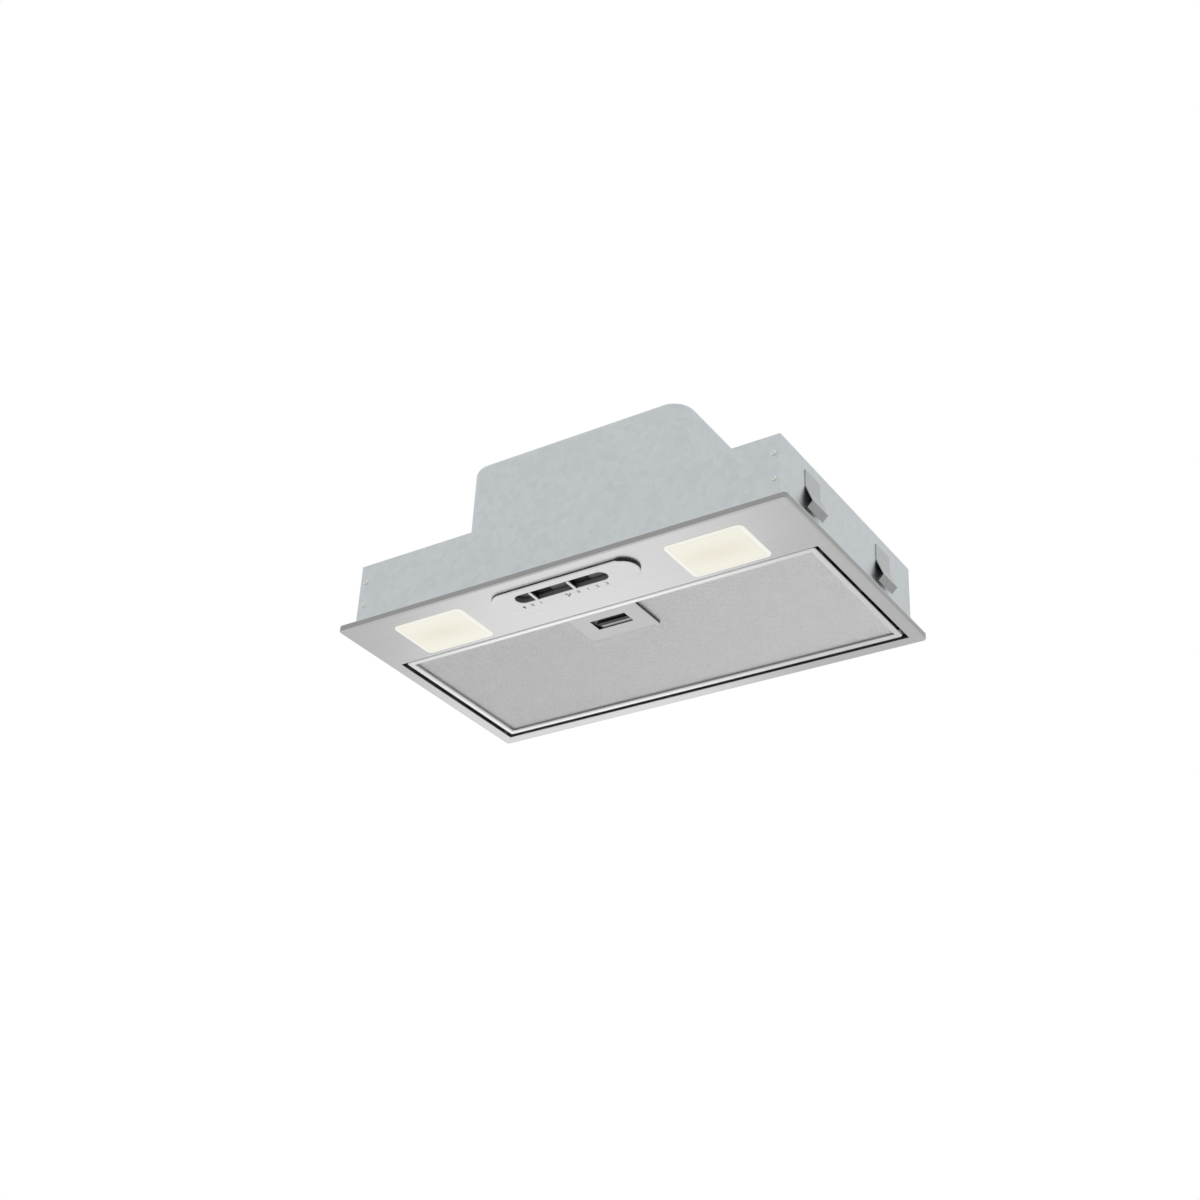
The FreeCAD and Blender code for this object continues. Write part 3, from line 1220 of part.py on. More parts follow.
def cable_gland():
    """Gland through the roof for the supply lead."""
    def level(z):
        return (TERMINAL_X, TERMINAL_Y, z)

    flange_top = BODY_TOP + GLAND_FLANGE
    nose_top = flange_top + GLAND_NOSE
    tail = ROOF - TERMINAL_WALL - GLAND_TAIL
    flange = rod(GLAND_FLANGE_RADIUS, level(BODY_TOP), level(flange_top))
    nose = rod(GLAND_NOSE_RADIUS, level(flange_top), level(nose_top))
    shank = rod(GLAND_SHANK, level(tail), level(BODY_TOP))
    return fused([flange, nose, shank]).cut(rod(GLAND_BORE, level(tail), level(nose_top)))


def capacitor():
    """Motor capacitor under the roof."""
    x0 = CAPACITOR_X - CAPACITOR_LENGTH / 2
    x1 = CAPACITOR_X + CAPACITOR_LENGTH / 2
    can = rod(CAPACITOR_RADIUS, (x0, CAPACITOR_Y, CAPACITOR_Z), (x1, CAPACITOR_Y, CAPACITOR_Z))
    rims = [e for e in can.Edges if e.BoundBox.XLength < TOLERANCE]
    return can.makeFillet(CAPACITOR_ROUND, rims)


def capacitor_clip():
    """Ring clip that holds the capacitor to the roof."""
    x0 = CAPACITOR_X - CAPACITOR_CLIP / 2
    x1 = CAPACITOR_X + CAPACITOR_CLIP / 2
    outer = CAPACITOR_RADIUS + CAPACITOR_CLIP_SHEET
    band = rod(outer, (x0, CAPACITOR_Y, CAPACITOR_Z), (x1, CAPACITOR_Y, CAPACITOR_Z))
    foot = box(x0, x1, CAPACITOR_Y - outer / 2, CAPACITOR_Y + outer / 2, CAPACITOR_Z, ROOF)
    bore = rod(CAPACITOR_RADIUS, (x0, CAPACITOR_Y, CAPACITOR_Z), (x1, CAPACITOR_Y, CAPACITOR_Z))
    return fused([band, foot]).cut(bore)


def all_parts():
    """Every piece of the hood by its node's name."""
    end_right = end_plate()
    bearing = pivot_bearing()
    pin = filter_pin()
    pad_floor = MESH_FACE + MESH_THICKNESS
    pad_top = MESH_TOP - MESH_THICKNESS
    parts = {
        "fascia_panel": fascia_panel(),
        "front_brackets": front_brackets(),
        "fascia_screws": fascia_screws(),
        "body_wrap": body_wrap(),
        "end_plate_left": mirrored(end_right),
        "end_plate_right": end_right,
        "shell_rivets": shell_rivets(),
        "side_clips": side_clips(),
        "motor_cover": motor_cover(),
        "housing_screws": housing_screws(),
        "outlet_collar": outlet_collar(),
        "flap_pin": flap_pin(),
        "flap_left": mirrored(right_flap(0)),
        "flap_right": right_flap(1),
        "scroll_left": scroll_left(),
        "scroll_right": scroll_right(),
        "scroll_screws": scroll_screws(),
        "fan_wheel": fan_wheel(),
        "motor_shaft": motor_shaft(),
        "hub_nut": hub_nut(),
        "motor_body": motor_body(),
        "motor_bracket": motor_bracket(),
        "motor_bushes": motor_bushes(),
        "motor_screws": motor_screws(),
        "motor_lead": motor_lead(),
        "lamp_leads": lamp_leads(),
        "control_bezel": control_bezel(),
        "switch_box": switch_box(),
        "light_slider": slider(LIGHT_X),
        "light_index": slider_index(LIGHT_X),
        "speed_slider": slider(SPEED_X),
        "speed_index": slider_index(SPEED_X),
        "filter_frame": filter_frame(),
        "filter_mesh_lower": filter_layer(MESH_FACE, pad_floor),
        "filter_pad": filter_layer(pad_floor, pad_top),
        "filter_mesh_upper": filter_layer(pad_top, MESH_TOP),
        "filter_pins": [mirrored(pin), pin],
        "pivot_bearings": [mirrored(bearing), bearing],
        "latch_plate": latch_plate(),
        "latch_cover": latch_cover(),
        "latch_slider": latch_slider(),
        "latch_spring": latch_spring(),
        "latch_catch": latch_catch(),
        "terminal_box": terminal_box(),
        "terminal_lid": terminal_lid(),
        "cable_gland": cable_gland(),
        "capacitor": capacitor(),
        "capacitor_clip": capacitor_clip(),
    }
    for name, x in (("left", -LAMP_X), ("right", LAMP_X)):
        parts["lamp_lens_" + name] = lamp_lens(x)
        parts["lamp_tray_" + name] = lamp_tray(x)
        parts["lamp_socket_" + name] = lamp_socket(x)
        parts["lamp_bulb_" + name] = lamp_bulb(x)
        parts["bulb_cap_" + name] = bulb_cap(x)
    return parts


def export(parts):
    """Write one file per piece, with the solids of a group side by side in one file."""
    os.makedirs("parts", exist_ok=True)
    for name, shape in parts.items():
        whole = Part.makeCompound(shape) if isinstance(shape, list) else shape
        whole.exportStep("parts/" + name + ".step")
        print(name, len(whole.Solids), "solids", round(whole.Volume), "mm3", whole.isValid())


export(all_parts())
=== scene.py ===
"""Looks of a built-in range hood: brushed fascia, lit lamps, slide controls, grease filter and sheet body.

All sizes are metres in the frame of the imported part: +Z up, +Y to the back, and the origin in the middle
of the fascia, at the height where it seats.
"""

from __future__ import annotations

import logging
import math
from collections.abc import Callable, Iterable, Sequence
from dataclasses import dataclass, replace
from enum import Enum

import bmesh
import bpy
from mathutils import Matrix, Quaternion, Vector, noise


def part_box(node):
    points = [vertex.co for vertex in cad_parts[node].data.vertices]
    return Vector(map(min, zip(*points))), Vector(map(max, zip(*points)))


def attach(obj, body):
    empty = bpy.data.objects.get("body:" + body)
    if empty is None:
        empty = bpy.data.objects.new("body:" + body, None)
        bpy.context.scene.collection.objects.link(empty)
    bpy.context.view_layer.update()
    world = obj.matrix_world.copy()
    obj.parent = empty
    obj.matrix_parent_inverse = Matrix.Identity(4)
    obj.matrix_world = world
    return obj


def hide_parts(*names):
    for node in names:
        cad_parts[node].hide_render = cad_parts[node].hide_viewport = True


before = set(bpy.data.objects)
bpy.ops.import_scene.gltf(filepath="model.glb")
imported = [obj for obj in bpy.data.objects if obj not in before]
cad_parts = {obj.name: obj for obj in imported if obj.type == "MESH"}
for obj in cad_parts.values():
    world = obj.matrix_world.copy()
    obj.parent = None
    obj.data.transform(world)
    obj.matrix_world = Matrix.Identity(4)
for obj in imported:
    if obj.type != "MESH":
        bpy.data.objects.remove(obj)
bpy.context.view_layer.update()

LOG = logging.getLogger("range_hood")
MM = 0.001
WELD = 0.001 * MM
Pair = tuple[float, float]
Point = tuple[float, float, float]
Colour = tuple[float, float, float]
Colour4 = tuple[float, float, float, float]


def linear(colour: Colour, gain: float = 1.0) -> Colour4:
    """Turn a display colour into linear light by the sRGB curve, times a gain, with an alpha of 1."""
    red, green, blue = (c / 12.92 if c <= 0.04045 else ((c + 0.055) / 1.055) ** 2.4 for c in colour)
    return (red * gain, green * gain, blue * gain, 1.0)


def linked(name: str, data: bpy.types.ID) -> bpy.types.Object:
    """Make an object and put it in the scene.

    Args:
        name: The object's name.
        data: Its mesh, curve, light or camera.

    Returns:
        The object.
    """
    made = bpy.data.objects.new(name, data)
    bpy.context.scene.collection.objects.link(made)
    return made


def plain_mesh(carrier: bpy.types.Object) -> bpy.types.Mesh:
    """Take the finished mesh of an object with modifiers or text, and remove the object.

    Args:
        carrier: The object.

    Returns:
        The mesh.
    """
    graph = bpy.context.evaluated_depsgraph_get()
    made = bpy.data.meshes.new_from_object(carrier.evaluated_get(graph), depsgraph=graph)
    carrier.modifiers.clear()
    bpy.data.objects.remove(carrier)
    return made


def written_mesh(name: str, shape: bmesh.types.BMesh) -> bpy.types.Mesh:
    """Write a shape out as a mesh, and free it.

    Args:
        name: Name of the mesh.
        shape: The shape.

    Returns:
        The mesh.
    """
    made = bpy.data.meshes.new(name)
    shape.to_mesh(made)
    shape.free()
    return made


class Board:
    """A node tree that is filled one node at a time."""

    def __init__(self, tree: bpy.types.NodeTree) -> None:
        """Keep the tree that the nodes go into."""
        self.tree = tree

    def put(self, socket: bpy.types.NodeSocket, value: object) -> None:
        """Link a signal to an input, or set a plain value on it.

        Args:
            socket: The input.
            value: The signal, number, colour or vector.
        """
        if isinstance(value, Signal):
            self.tree.links.new(value.socket, socket)
        else:
            socket.default_value = value

    def node(self, kind: str, settings: dict | None = None, inputs: dict | None = None) -> bpy.types.Node:
        """Add one node.

        Args:
            kind: Blender's name of the node type.
            settings: Properties of the node, set first.
            inputs: Values or signals by the socket's name or number. A list links several to one socket.

        Returns:
            The new node.
        """
        made = self.tree.nodes.new(kind)
        for name, value in (settings or {}).items():
            setattr(made, name, value)
        for key, value in (inputs or {}).items():
            for entry in value if isinstance(value, list) else [value]:
                self.put(made.inputs[key], entry)
        return made

    def signal(
        self, kind: str, settings: dict | None = None, inputs: dict | None = None, output: int | str = 0
    ) -> Signal:
        """Add one node, as node() does, and take one of its outputs by name or number."""
        return Signal(self, self.node(kind, settings, inputs).outputs[output])

    def axes(self, vector: Signal) -> list[Signal]:
        """Take a vector apart into its three components."""
        return [Signal(self, part) for part in self.node("ShaderNodeSeparateXYZ", inputs={0: vector}).outputs]


def operation(name: str, flipped: bool = False) -> Callable[..., Signal]:
    """Make a method of a signal that adds one kind of Math node.

    Args:
        name: The node's operation.
        flipped: Whether the other value is the node's first input.

    Returns:
        The method.
    """

    def method(signal: Signal, *others: Signal | float) -> Signal:
        """Add the node and give its result."""
        entries = (*others, signal) if flipped else (signal, *others)
        return signal.board.signal("ShaderNodeMath", {"operation": name}, dict(enumerate(entries)))

    return method


class Signal:
    """An output socket that takes part in Python expressions, each of which adds Math nodes.

    Of the named ones, below() gives one where the value is under a limit and nought elsewhere, larger()
    the larger of two values, and angle() the slope of the value over another in radians.
    """

    def __init__(self, board: Board, socket: bpy.types.NodeSocket) -> None:
        """Keep the socket and the board it stands on."""
        self.board = board
        self.socket = socket

    __add__ = __radd__ = operation("ADD")
    __sub__ = operation("SUBTRACT")
    __rsub__ = operation("SUBTRACT", flipped=True)
    __mul__ = __rmul__ = operation("MULTIPLY")
    __truediv__ = operation("DIVIDE")
    __abs__ = operation("ABSOLUTE")
    root = operation("SQRT")
    floor = operation("FLOOR")
    below = operation("LESS_THAN")
    larger = operation("MAXIMUM")
    angle = operation("ARCTAN2")

    def eased(self, low: float, high: float) -> Signal:
        """Soft step from nought at one value to one at a higher value."""
        limits = {"Value": self, "From Min": low, "From Max": high}
        return self.board.signal("ShaderNodeMapRange", {"interpolation_type": "SMOOTHSTEP"}, limits)

    def between(self, rise: Pair, fall: Pair) -> Signal:
        """One inside a range with soft ends, which are given as steps up and down."""
        return self.eased(*rise) * (1.0 - self.eased(*fall))


class Surface(Board):
    """Node tree of a material, with the principled shader that it feeds."""

    def __init__(self, material: bpy.types.Material, roughness: float) -> None:
        """Stand the shader in the empty tree.

        Args:
            material: The new material.
            roughness: The shader's roughness before anything feeds it.
        """
        material.use_nodes = True
        super().__init__(material.node_tree)
        self.tree.nodes.clear()
        self.shader = self.node("ShaderNodeBsdfPrincipled", inputs={"Roughness": roughness})
        self.node("ShaderNodeOutputMaterial", inputs={"Surface": Signal(self, self.shader.outputs[0])})

    def feed(self, **values: Signal | float) -> None:
        """Feed signals or numbers to the shader's sockets, named with _ for a space."""
        for name, value in values.items():
            self.put(self.shader.inputs[name.replace("_", " ")], value)

    def place(self, scale: Point = (1.0, 1.0, 1.0), turn: float = 0.0) -> Signal:
        """Point on the piece, in metres, stretched along each axis and turned about Z.

        Args:
            scale: Stretch factor of each axis.
            turn: Angle in radians.

        Returns:
            The point as a vector signal.
        """
        point = self.signal("ShaderNodeTexCoord", output="Object")
        sockets = {"Vector": point, "Scale": scale, "Rotation": (0.0, 0.0, turn)}
        return self.signal("ShaderNodeMapping", inputs=sockets)

    def clouds(self, point: Signal, size: float, detail: float = 2.0, output: str = "Fac") -> Signal:
        """Soft noise from nought to one at a point, with patches of a size in metres."""
        sockets = {"Vector": point, "Scale": 1.0 / size, "Detail": detail}
        return self.signal("ShaderNodeTexNoise", {"noise_dimensions": "3D"}, sockets, output)

    def blend(self, share: Signal, first: Signal | Colour4, second: Signal | Colour4) -> Signal:
        """Mix two linear colours by the share of the second."""
        return self.signal("ShaderNodeMix", {"data_type": "RGBA"}, {0: share, 6: first, 7: second}, output=2)

    def relief(self, height: Signal, depth: float, strength: float) -> Signal:
        """Normal of a bumpy surface, with its depth in metres and the share of it that shows."""
        sockets = {"Height": height, "Distance": depth, "Strength": strength}
        return self.signal("ShaderNodeBump", inputs=sockets)


@dataclass(frozen=True)
class Finish:
    """What every finish has: a name, a colour as a screen shows it, and a roughness."""

    name: str
    colour: Colour
    roughness: float

    def material(self) -> bpy.types.Material:
        """Give the finish's material, which is made on the first call.

        Returns:
            The material.
        """
        known = bpy.data.materials.get(self.name)
        if known is None:
            known = bpy.data.materials.new(self.name)
            self.paint(Surface(known, self.roughness))
        return known

    def paint(self, surface: Surface) -> None:
        """Fill in the shader's colour, roughness and relief."""
        raise NotImplementedError

    def shade(self, surface: Surface, pattern: Signal, dark: float, light: float) -> Signal:
        """Colour of the finish, which a pattern takes from a dark gain to a light one."""
        return surface.blend(pattern, linear(self.colour, dark), linear(self.colour, light))

    def gloss(self, pattern: Signal, spread: float) -> Signal:
        """Roughness that varies around the finish's own, with a pattern between nought and one."""
        return pattern * spread + (self.roughness - spread / 2.0)


@dataclass(frozen=True)
class BrushedMetal(Finish):
    """Metal drawn along X, with fine streaks in its tone, gloss and relief.

    Fine streaks, streaks that are some times as broad, and wide clouds are mixed by their shares.
    """

    streak: float = 0.5 * MM
    contrast: float = 0.07
    stretch: float = 0.004
    broad: float = 12.0
    cloud: float = 120.0 * MM
    shares: Point = (0.6, 0.15, 0.25)
    span: Pair = (0.3, 0.7)
    gloss_spread: float = 0.2
    depth: float = 0.01 * MM
    bump: float = 0.25

    def paint(self, surface: Surface) -> None:
        """Fill in the streaks.

        Args:
            surface: The material's tree.
        """
        drawn = surface.place((self.stretch, 1.0, 1.0))
        fine = surface.clouds(drawn, self.streak, detail=3.0)
        broad = surface.clouds(drawn, self.streak * self.broad)
        cloud = surface.clouds(surface.place(), self.cloud, detail=1.0)
        mixed = fine * self.shares[0] + broad * self.shares[1] + cloud * self.shares[2]
        surface.feed(
            Metallic=1.0,
            Base_Color=self.tone(surface, mixed.eased(*self.span)),
            Roughness=self.gloss(mixed, self.gloss_spread),
            Normal=surface.relief(fine, self.depth, self.bump),
        )

    def tone(self, surface: Surface, streaks: Signal, gain: float = 1.0) -> Signal:
        """Colour of the streaks, with a gain on the finish's own."""
        return self.shade(surface, streaks, gain * (1.0 - self.contrast), gain * (1.0 + self.contrast))


@dataclass(frozen=True)
class FoldedSheet(BrushedMetal):
    """Brushed metal whose rim at the fold, between two heights, is darkened by painted shade.

    With half sizes given, only the walls at the outline get the painted shade.
    """

    fold: float = 0.0
    top: float = 1.0
    dulled: float = 0.48
    half: Pair = (0.0, 0.0)
    outline: Pair = (-3.0 * MM, -2.0 * MM)
    fold_blur: float = 0.5 * MM
    top_blur: float = 0.2 * MM

    def tone(self, surface: Surface, streaks: Signal, gain: float = 1.0) -> Signal:
        """Colour of the flat, and of the fold with its painted shade.

        Args:
            surface: The material's tree.
            streaks: Pattern of the streaks between nought and one.
            gain: Factor on the finish's colour.

        Returns:
            The colour.
        """
        flat = super().tone(surface, streaks, gain)
        # The fold's darker tone is painted shade.
        shaded_fold = super().tone(surface, streaks, gain * self.dulled)
        x, y, height = surface.axes(surface.place())
        outer = (abs(x) - self.half[0]).larger(abs(y) - self.half[1]).eased(*self.outline)
        shade_band = height.between((self.fold, self.fold + self.fold_blur), (self.top, self.top + self.top_blur))
        return surface.blend(shade_band * outer, flat, shaded_fold)


@dataclass(frozen=True)
class SpangledSheet(Finish):
    """Zinc-dipped sheet with feathered crystal flakes of slightly different tone and gloss."""

    flake: float = 7.0 * MM
    feather: float = 3.5 * MM
    film: float = 60.0 * MM
    ripple: float = 4.0 * MM
    flake_share: float = 0.55
    shades: Pair = (0.89, 1.08)
    gloss_spread: float = 0.16
    depth: float = 0.02 * MM
    bump: float = 0.3

    def paint(self, surface: Surface) -> None:
        """Fill in the flakes.

        Args:
            surface: The material's tree.
        """
        point = surface.place()
        torn = surface.clouds(point, self.feather, detail=4.0, output="Color")
        sockets = {0: torn, 1: (self.feather, self.feather, self.feather), 2: point}
        ragged = surface.signal("ShaderNodeVectorMath", {"operation": "MULTIPLY_ADD"}, sockets)
        sockets = {"Vector": ragged, "Scale": 1.0 / self.flake}
        cell = surface.signal("ShaderNodeTexVoronoi", {"feature": "F1"}, sockets, "Color")
        flakes = surface.signal("ShaderNodeSeparateColor", inputs={0: cell})
        film = surface.clouds(point, self.film, detail=3.0)
        mixed = flakes * self.flake_share + film * (1.0 - self.flake_share)
        surface.feed(
            Metallic=1.0,
            Base_Color=self.shade(surface, mixed, *self.shades),
            Roughness=self.gloss(mixed, self.gloss_spread),
            Normal=surface.relief(surface.clouds(point, self.ripple), self.depth, self.bump),
        )


@dataclass(frozen=True)
class PlainMetal(Finish):
    """Bare or plated metal with soft handling marks, and finer marks in its relief."""

    patch: float = 6.0 * MM
    spread: float = 0.13
    finer: float = 8.0
    gloss_spread: float = 0.24
    depth: float = 0.01 * MM
    bump: float = 0.3

    def paint(self, surface: Surface) -> None:
        """Fill in the handling marks.

        Args:
            surface: The material's tree.
        """
        point = surface.place()
        marks = surface.clouds(point, self.patch, detail=3.0)
        surface.feed(
            Metallic=1.0,
            Base_Color=self.shade(surface, marks, 1.0 - self.spread, 1.0 + self.spread),
            Roughness=self.gloss(marks, self.gloss_spread),
            Normal=surface.relief(surface.clouds(point, self.patch / self.finer), self.depth, self.bump),
        )


@dataclass(frozen=True)
class Moulding(Finish):
    """Moulded or coated surface with a fine grain and a faint unevenness of tone."""

    grain: float = 0.5 * MM
    depth: float = 0.01 * MM
    spread: float = 0.08
    patch: float = 30.0 * MM
    patch_share: float = 0.6
    gloss_spread: float = 0.14
    bump: float = 0.5

    def tone(self, surface: Surface, point: Signal, speck: Signal, patch: Signal) -> Signal:
        """Colour of the surface, from its fine and wide noise."""
        mixed = speck * (1.0 - self.patch_share) + patch * self.patch_share
        return self.shade(surface, mixed, 1.0 - self.spread, 1.0 + self.spread)

    def paint(self, surface: Surface) -> None:
        """Fill in the grain.

        Args:
            surface: The material's tree.
        """
        point = surface.place()
        speck = surface.clouds(point, self.grain)
        patch = surface.clouds(point, self.patch)
        surface.feed(
            Base_Color=self.tone(surface, point, speck, patch),
            Roughness=self.gloss(patch, self.gloss_spread),
            Normal=surface.relief(speck, self.depth, self.bump),
        )


@dataclass(frozen=True)
class FacedMoulding(Moulding):
    """Moulding whose lower face is coated pale, up to a height just past its rounded edge, with painted shade
    darkening it above.
    """

    core: Colour = (0.06, 0.06, 0.065)
    edge: float = 0.0
    blur: float = 0.25 * MM
    ragged: float = 0.1 * MM

    def skirt(self, surface: Surface, point: Signal) -> Signal | float:
        """How much further up than its edge the coat reaches at a point: here nowhere."""
        return 0.0

    def under(self, surface: Surface, point: Signal) -> Signal | Colour4:
        """Painted shade of the moulding at a point where it is not coated."""
        return linear(self.core)

    def tone(self, surface: Surface, point: Signal, speck: Signal, patch: Signal) -> Signal:
        """Colour of the surface: the coat below the edge's height, painted shade above it.

        Args:
            surface: The material's tree.
            point: Point on the piece.
            speck: Fine noise.
            patch: Wide noise.

        Returns:
            The colour.
        """
        coat = super().tone(surface, point, speck, patch)
        height = surface.axes(point)[2] + speck * self.ragged - self.skirt(surface, point)
        # Above the edge the moulding takes its painted shade.
        in_shade = height.eased(self.edge, self.edge + self.blur)
        return surface.blend(in_shade, coat, self.under(surface, point))


@dataclass(frozen=True)
class BossMoulding(FacedMoulding):
    """Faced moulding whose coat also covers its long outer walls, down to a painted shadow line at their
    foot; its right end keeps the painted shade.

    The walls of its slot get a lighter painted shade than the rest of the moulding.
    """

    middle: float = 0.0
    walls: Pair = (0.0, 1.0)
    right_end: Pair = (0.0, 1.0)
    rise: float = 0.0
    lining: Colour = (0.40, 0.40, 0.405)
    slot_middle: Pair = (0.0, 0.0)
    slot_half: Pair = (1.0, 1.0)
    slot_blur: float = 1.0 * MM

    def under(self, surface: Surface, point: Signal) -> Signal | Colour4:
        """Painted shade of the moulding, lighter on the walls of the slot.

        Args:
            surface: The material's tree.
            point: Point on the piece.

        Returns:
            The colour.
        """
        ways = zip(surface.axes(point), self.slot_middle, self.slot_half)
        past_end, past_side = (abs(way - mid).eased(half, half + self.slot_blur) for way, mid, half in ways)
        return surface.blend(past_end.larger(past_side), linear(self.lining), linear(self.core))

    def skirt(self, surface: Surface, point: Signal) -> Signal | float:
        """How much further up the coat reaches on the outer walls, short of the right end, which keeps its
        painted shade.
        """
        x, y, _ = surface.axes(point)
        return abs(y - self.middle).eased(*self.walls) * (1.0 - x.eased(*self.right_end)) * self.rise


@dataclass(frozen=True)
class StripMoulding(FacedMoulding):
    """Faced moulding whose coat is kept to a strip behind a front line and right of a left line; outside the
    strip it takes painted shade.
    """

    front: float = 0.0
    left: float = 0.0
    line: float = 0.4 * MM
    drop: float = 5.0 * MM

    def skirt(self, surface: Surface, point: Signal) -> Signal | float:
        """Draw the coat's edge back below the face outside the strip.

        Args:
            surface: The material's tree.
            point: Point on the piece.

        Returns:
            Nought on the strip, and well below nought outside it.
        """
        x, y, _ = surface.axes(point)
        inside = y.eased(self.front, self.front + self.line) * x.eased(self.left, self.left + self.line)
        return (inside - 1.0) * self.drop


@dataclass(frozen=True)
class LitLens(Finish):
    """Frosted lens that glows, warmest along the bulb behind it and palest at its rim.

    The groove and the rim are given as shares of the way from its middle to its edge, and the bulb's form
    as its weight along and across the lens.
    """

    glow: Colour
    bulb: Colour
    middle: Pair = (0.0, 0.0)
    half: Pair = (1.0, 1.0)
    grain: float = 1.2 * MM
    bulb_form: Pair = (0.9, 3.6)
    uneven: float = 0.12
    warmth: Pair = (0.1, 1.35)
    groove: tuple[Pair, Pair] = ((0.80, 0.83), (0.83, 0.87))
    groove_share: float = 0.5
    rim: Pair = (0.84, 0.88)
    glass: tuple[Colour, Colour] = ((0.30, 0.30, 0.28), (0.36, 0.36, 0.33))
    gloss_spread: float = 0.2
    depth: float = 0.04 * MM
    bump: float = 0.4

    def paint(self, surface: Surface) -> None:
        """Fill in the glow.

        Args:
            surface: The material's tree.
        """
        point = surface.place()
        x, y, _ = surface.axes(point)
        along = (abs(x) - self.middle[0]) / self.half[0]
        across = (y - self.middle[1]) / self.half[1]
        reach = (along * along * self.bulb_form[0] + across * across * self.bulb_form[1]).root()
        frost = surface.clouds(point, self.grain, detail=3.0)
        warm = 1.0 - (reach + frost * self.uneven).eased(*self.warmth)
        body = surface.blend(warm, linear(self.glow), linear(self.bulb))
        edge = abs(along).larger(abs(across))
        body = surface.blend(edge.between(*self.groove) * self.groove_share, body, linear(self.bulb))
        surface.feed(
            Base_Color=surface.blend(frost, *(linear(tone) for tone in self.glass)),
            Emission_Color=surface.blend(edge.eased(*self.rim), body, linear(self.colour)),
            Emission_Strength=1.0,
            Roughness=frost * self.gloss_spread + self.roughness,
            Normal=surface.relief(frost, self.depth, self.bump),
        )


@dataclass(frozen=True)
class PearlGlass(Finish):
    """Inside-frosted bulb glass."""

    grain: float = 4.0 * MM
    dimmed: float = 0.94
    clearness: float = 0.5
    refraction: float = 1.45
    gloss_spread: float = 0.15

    def paint(self, surface: Surface) -> None:
        """Fill in the frosting.

        Args:
            surface: The material's tree.
        """
        frost = surface.clouds(surface.place(), self.grain, detail=3.0)
        surface.feed(
            Base_Color=self.shade(surface, frost, self.dimmed, 1.0),
            Roughness=frost * self.gloss_spread + self.roughness,
            Transmission_Weight=self.clearness,
            IOR=self.refraction,
        )


@dataclass(frozen=True)
class TangledWire(Finish):
    """Loose aluminium fleece: bright crossing wires over dimmer gaps, whose darkness is painted shade.

    Each layer of wires has a turn, a stretch of its cells and a brightness. How much of the wires shows
    and how metallic they look is given as a least value and a gain.
    """

    wire: float = 1.6 * MM
    layers: tuple[tuple[float, Point, float], ...] = (
        (0.0, (1.0, 0.25, 1.0), 1.0),
        (0.8, (0.3, 1.0, 1.0), 0.8),
    )
    wire_edge: Pair = (0.02, 0.16)
    tangle: float = 3.0 * MM
    shown: Pair = (0.55, 0.6)
    shades: Pair = (0.72, 1.05)
    metal: Pair = (0.3, 0.4)
    depth: float = 0.5 * MM
    bump: float = 0.7

    def paint(self, surface: Surface) -> None:
        """Fill in the wires.

        Args:
            surface: The material's tree.
        """
        shaken = surface.clouds(surface.place(), self.tangle)
        strands: list[Signal] = []
        for turn, stretch, bright in self.layers:
            sockets = {"Vector": surface.place(stretch, turn), "Scale": 1.0 / self.wire}
            edge = surface.signal("ShaderNodeTexVoronoi", {"feature": "DISTANCE_TO_EDGE"}, sockets)
            strands.append((1.0 - edge.eased(*self.wire_edge)) * bright)
        wires = strands[0].larger(strands[1])
        shown = wires * (shaken * self.shown[1] + self.shown[0])
        # The gaps' darker tone is painted shade between the wires.
        surface.feed(
            Base_Color=self.shade(surface, shown, *self.shades),
            Metallic=shown * self.metal[1] + self.metal[0],
            Roughness=1.0 - shown * self.roughness,
            Normal=surface.relief(wires, self.depth, self.bump),
        )


# STAINLESS and RIM_ALUMINIUM paint shade on their folds.
STAINLESS = FoldedSheet("Brushed stainless", (0.80, 0.80, 0.80), 0.30)
RIM_ALUMINIUM = FoldedSheet(
    "Satin aluminium", (0.90, 0.90, 0.90), 0.32, streak=0.9 * MM, contrast=0.04, dulled=0.5
)
GROUND_STEEL = BrushedMetal("Ground steel", (0.78, 0.78, 0.77), 0.25, streak=0.4 * MM)
GALVANISED = SpangledSheet("Galvanised sheet", (0.76, 0.78, 0.79), 0.42)
ZINC = PlainMetal("Bright zinc", (0.83, 0.83, 0.80), 0.3)
SPRING_STEEL = PlainMetal("Spring steel", (0.67, 0.68, 0.68), 0.32)
MESH_WIRE = PlainMetal("Expanded aluminium", (0.975, 0.975, 0.975), 0.5, patch=20.0 * MM, spread=0.04)
FLEECE = TangledWire("Aluminium fleece", (0.97, 0.97, 0.97), 0.5)
CAP_METAL = PlainMetal("Bulb cap", (0.82, 0.81, 0.77), 0.25, patch=3.0 * MM)
# The faced mouldings below have pale faces and painted shade on their walls.
BOSS_PLASTIC = BossMoulding("Silver-faced plastic", (0.89, 0.89, 0.89), 0.36, spread=0.03)
FIN_PLASTIC = FacedMoulding("Silver-edged plastic", (0.90, 0.90, 0.90), 0.36, spread=0.03)
PLATE_PLASTIC = FacedMoulding("Light-faced plastic", (0.79, 0.79, 0.79), 0.40, spread=0.04)
LATCH_PLASTIC = Moulding("Light grey plastic", (0.79, 0.79, 0.79), 0.40, spread=0.04)
TAB_PLASTIC = StripMoulding("Grey-edged plastic", (0.74, 0.74, 0.74), 0.40, spread=0.04)
BLACK_PLASTIC = Moulding("Black plastic", (0.10, 0.10, 0.105), 0.45, spread=0.2)
SLOT_PLASTIC = Moulding("Charcoal plastic", (0.45, 0.45, 0.455), 0.5, spread=0.1)
GREY_PLASTIC = Moulding("Dark grey plastic", (0.33, 0.33, 0.34), 0.5, spread=0.1)
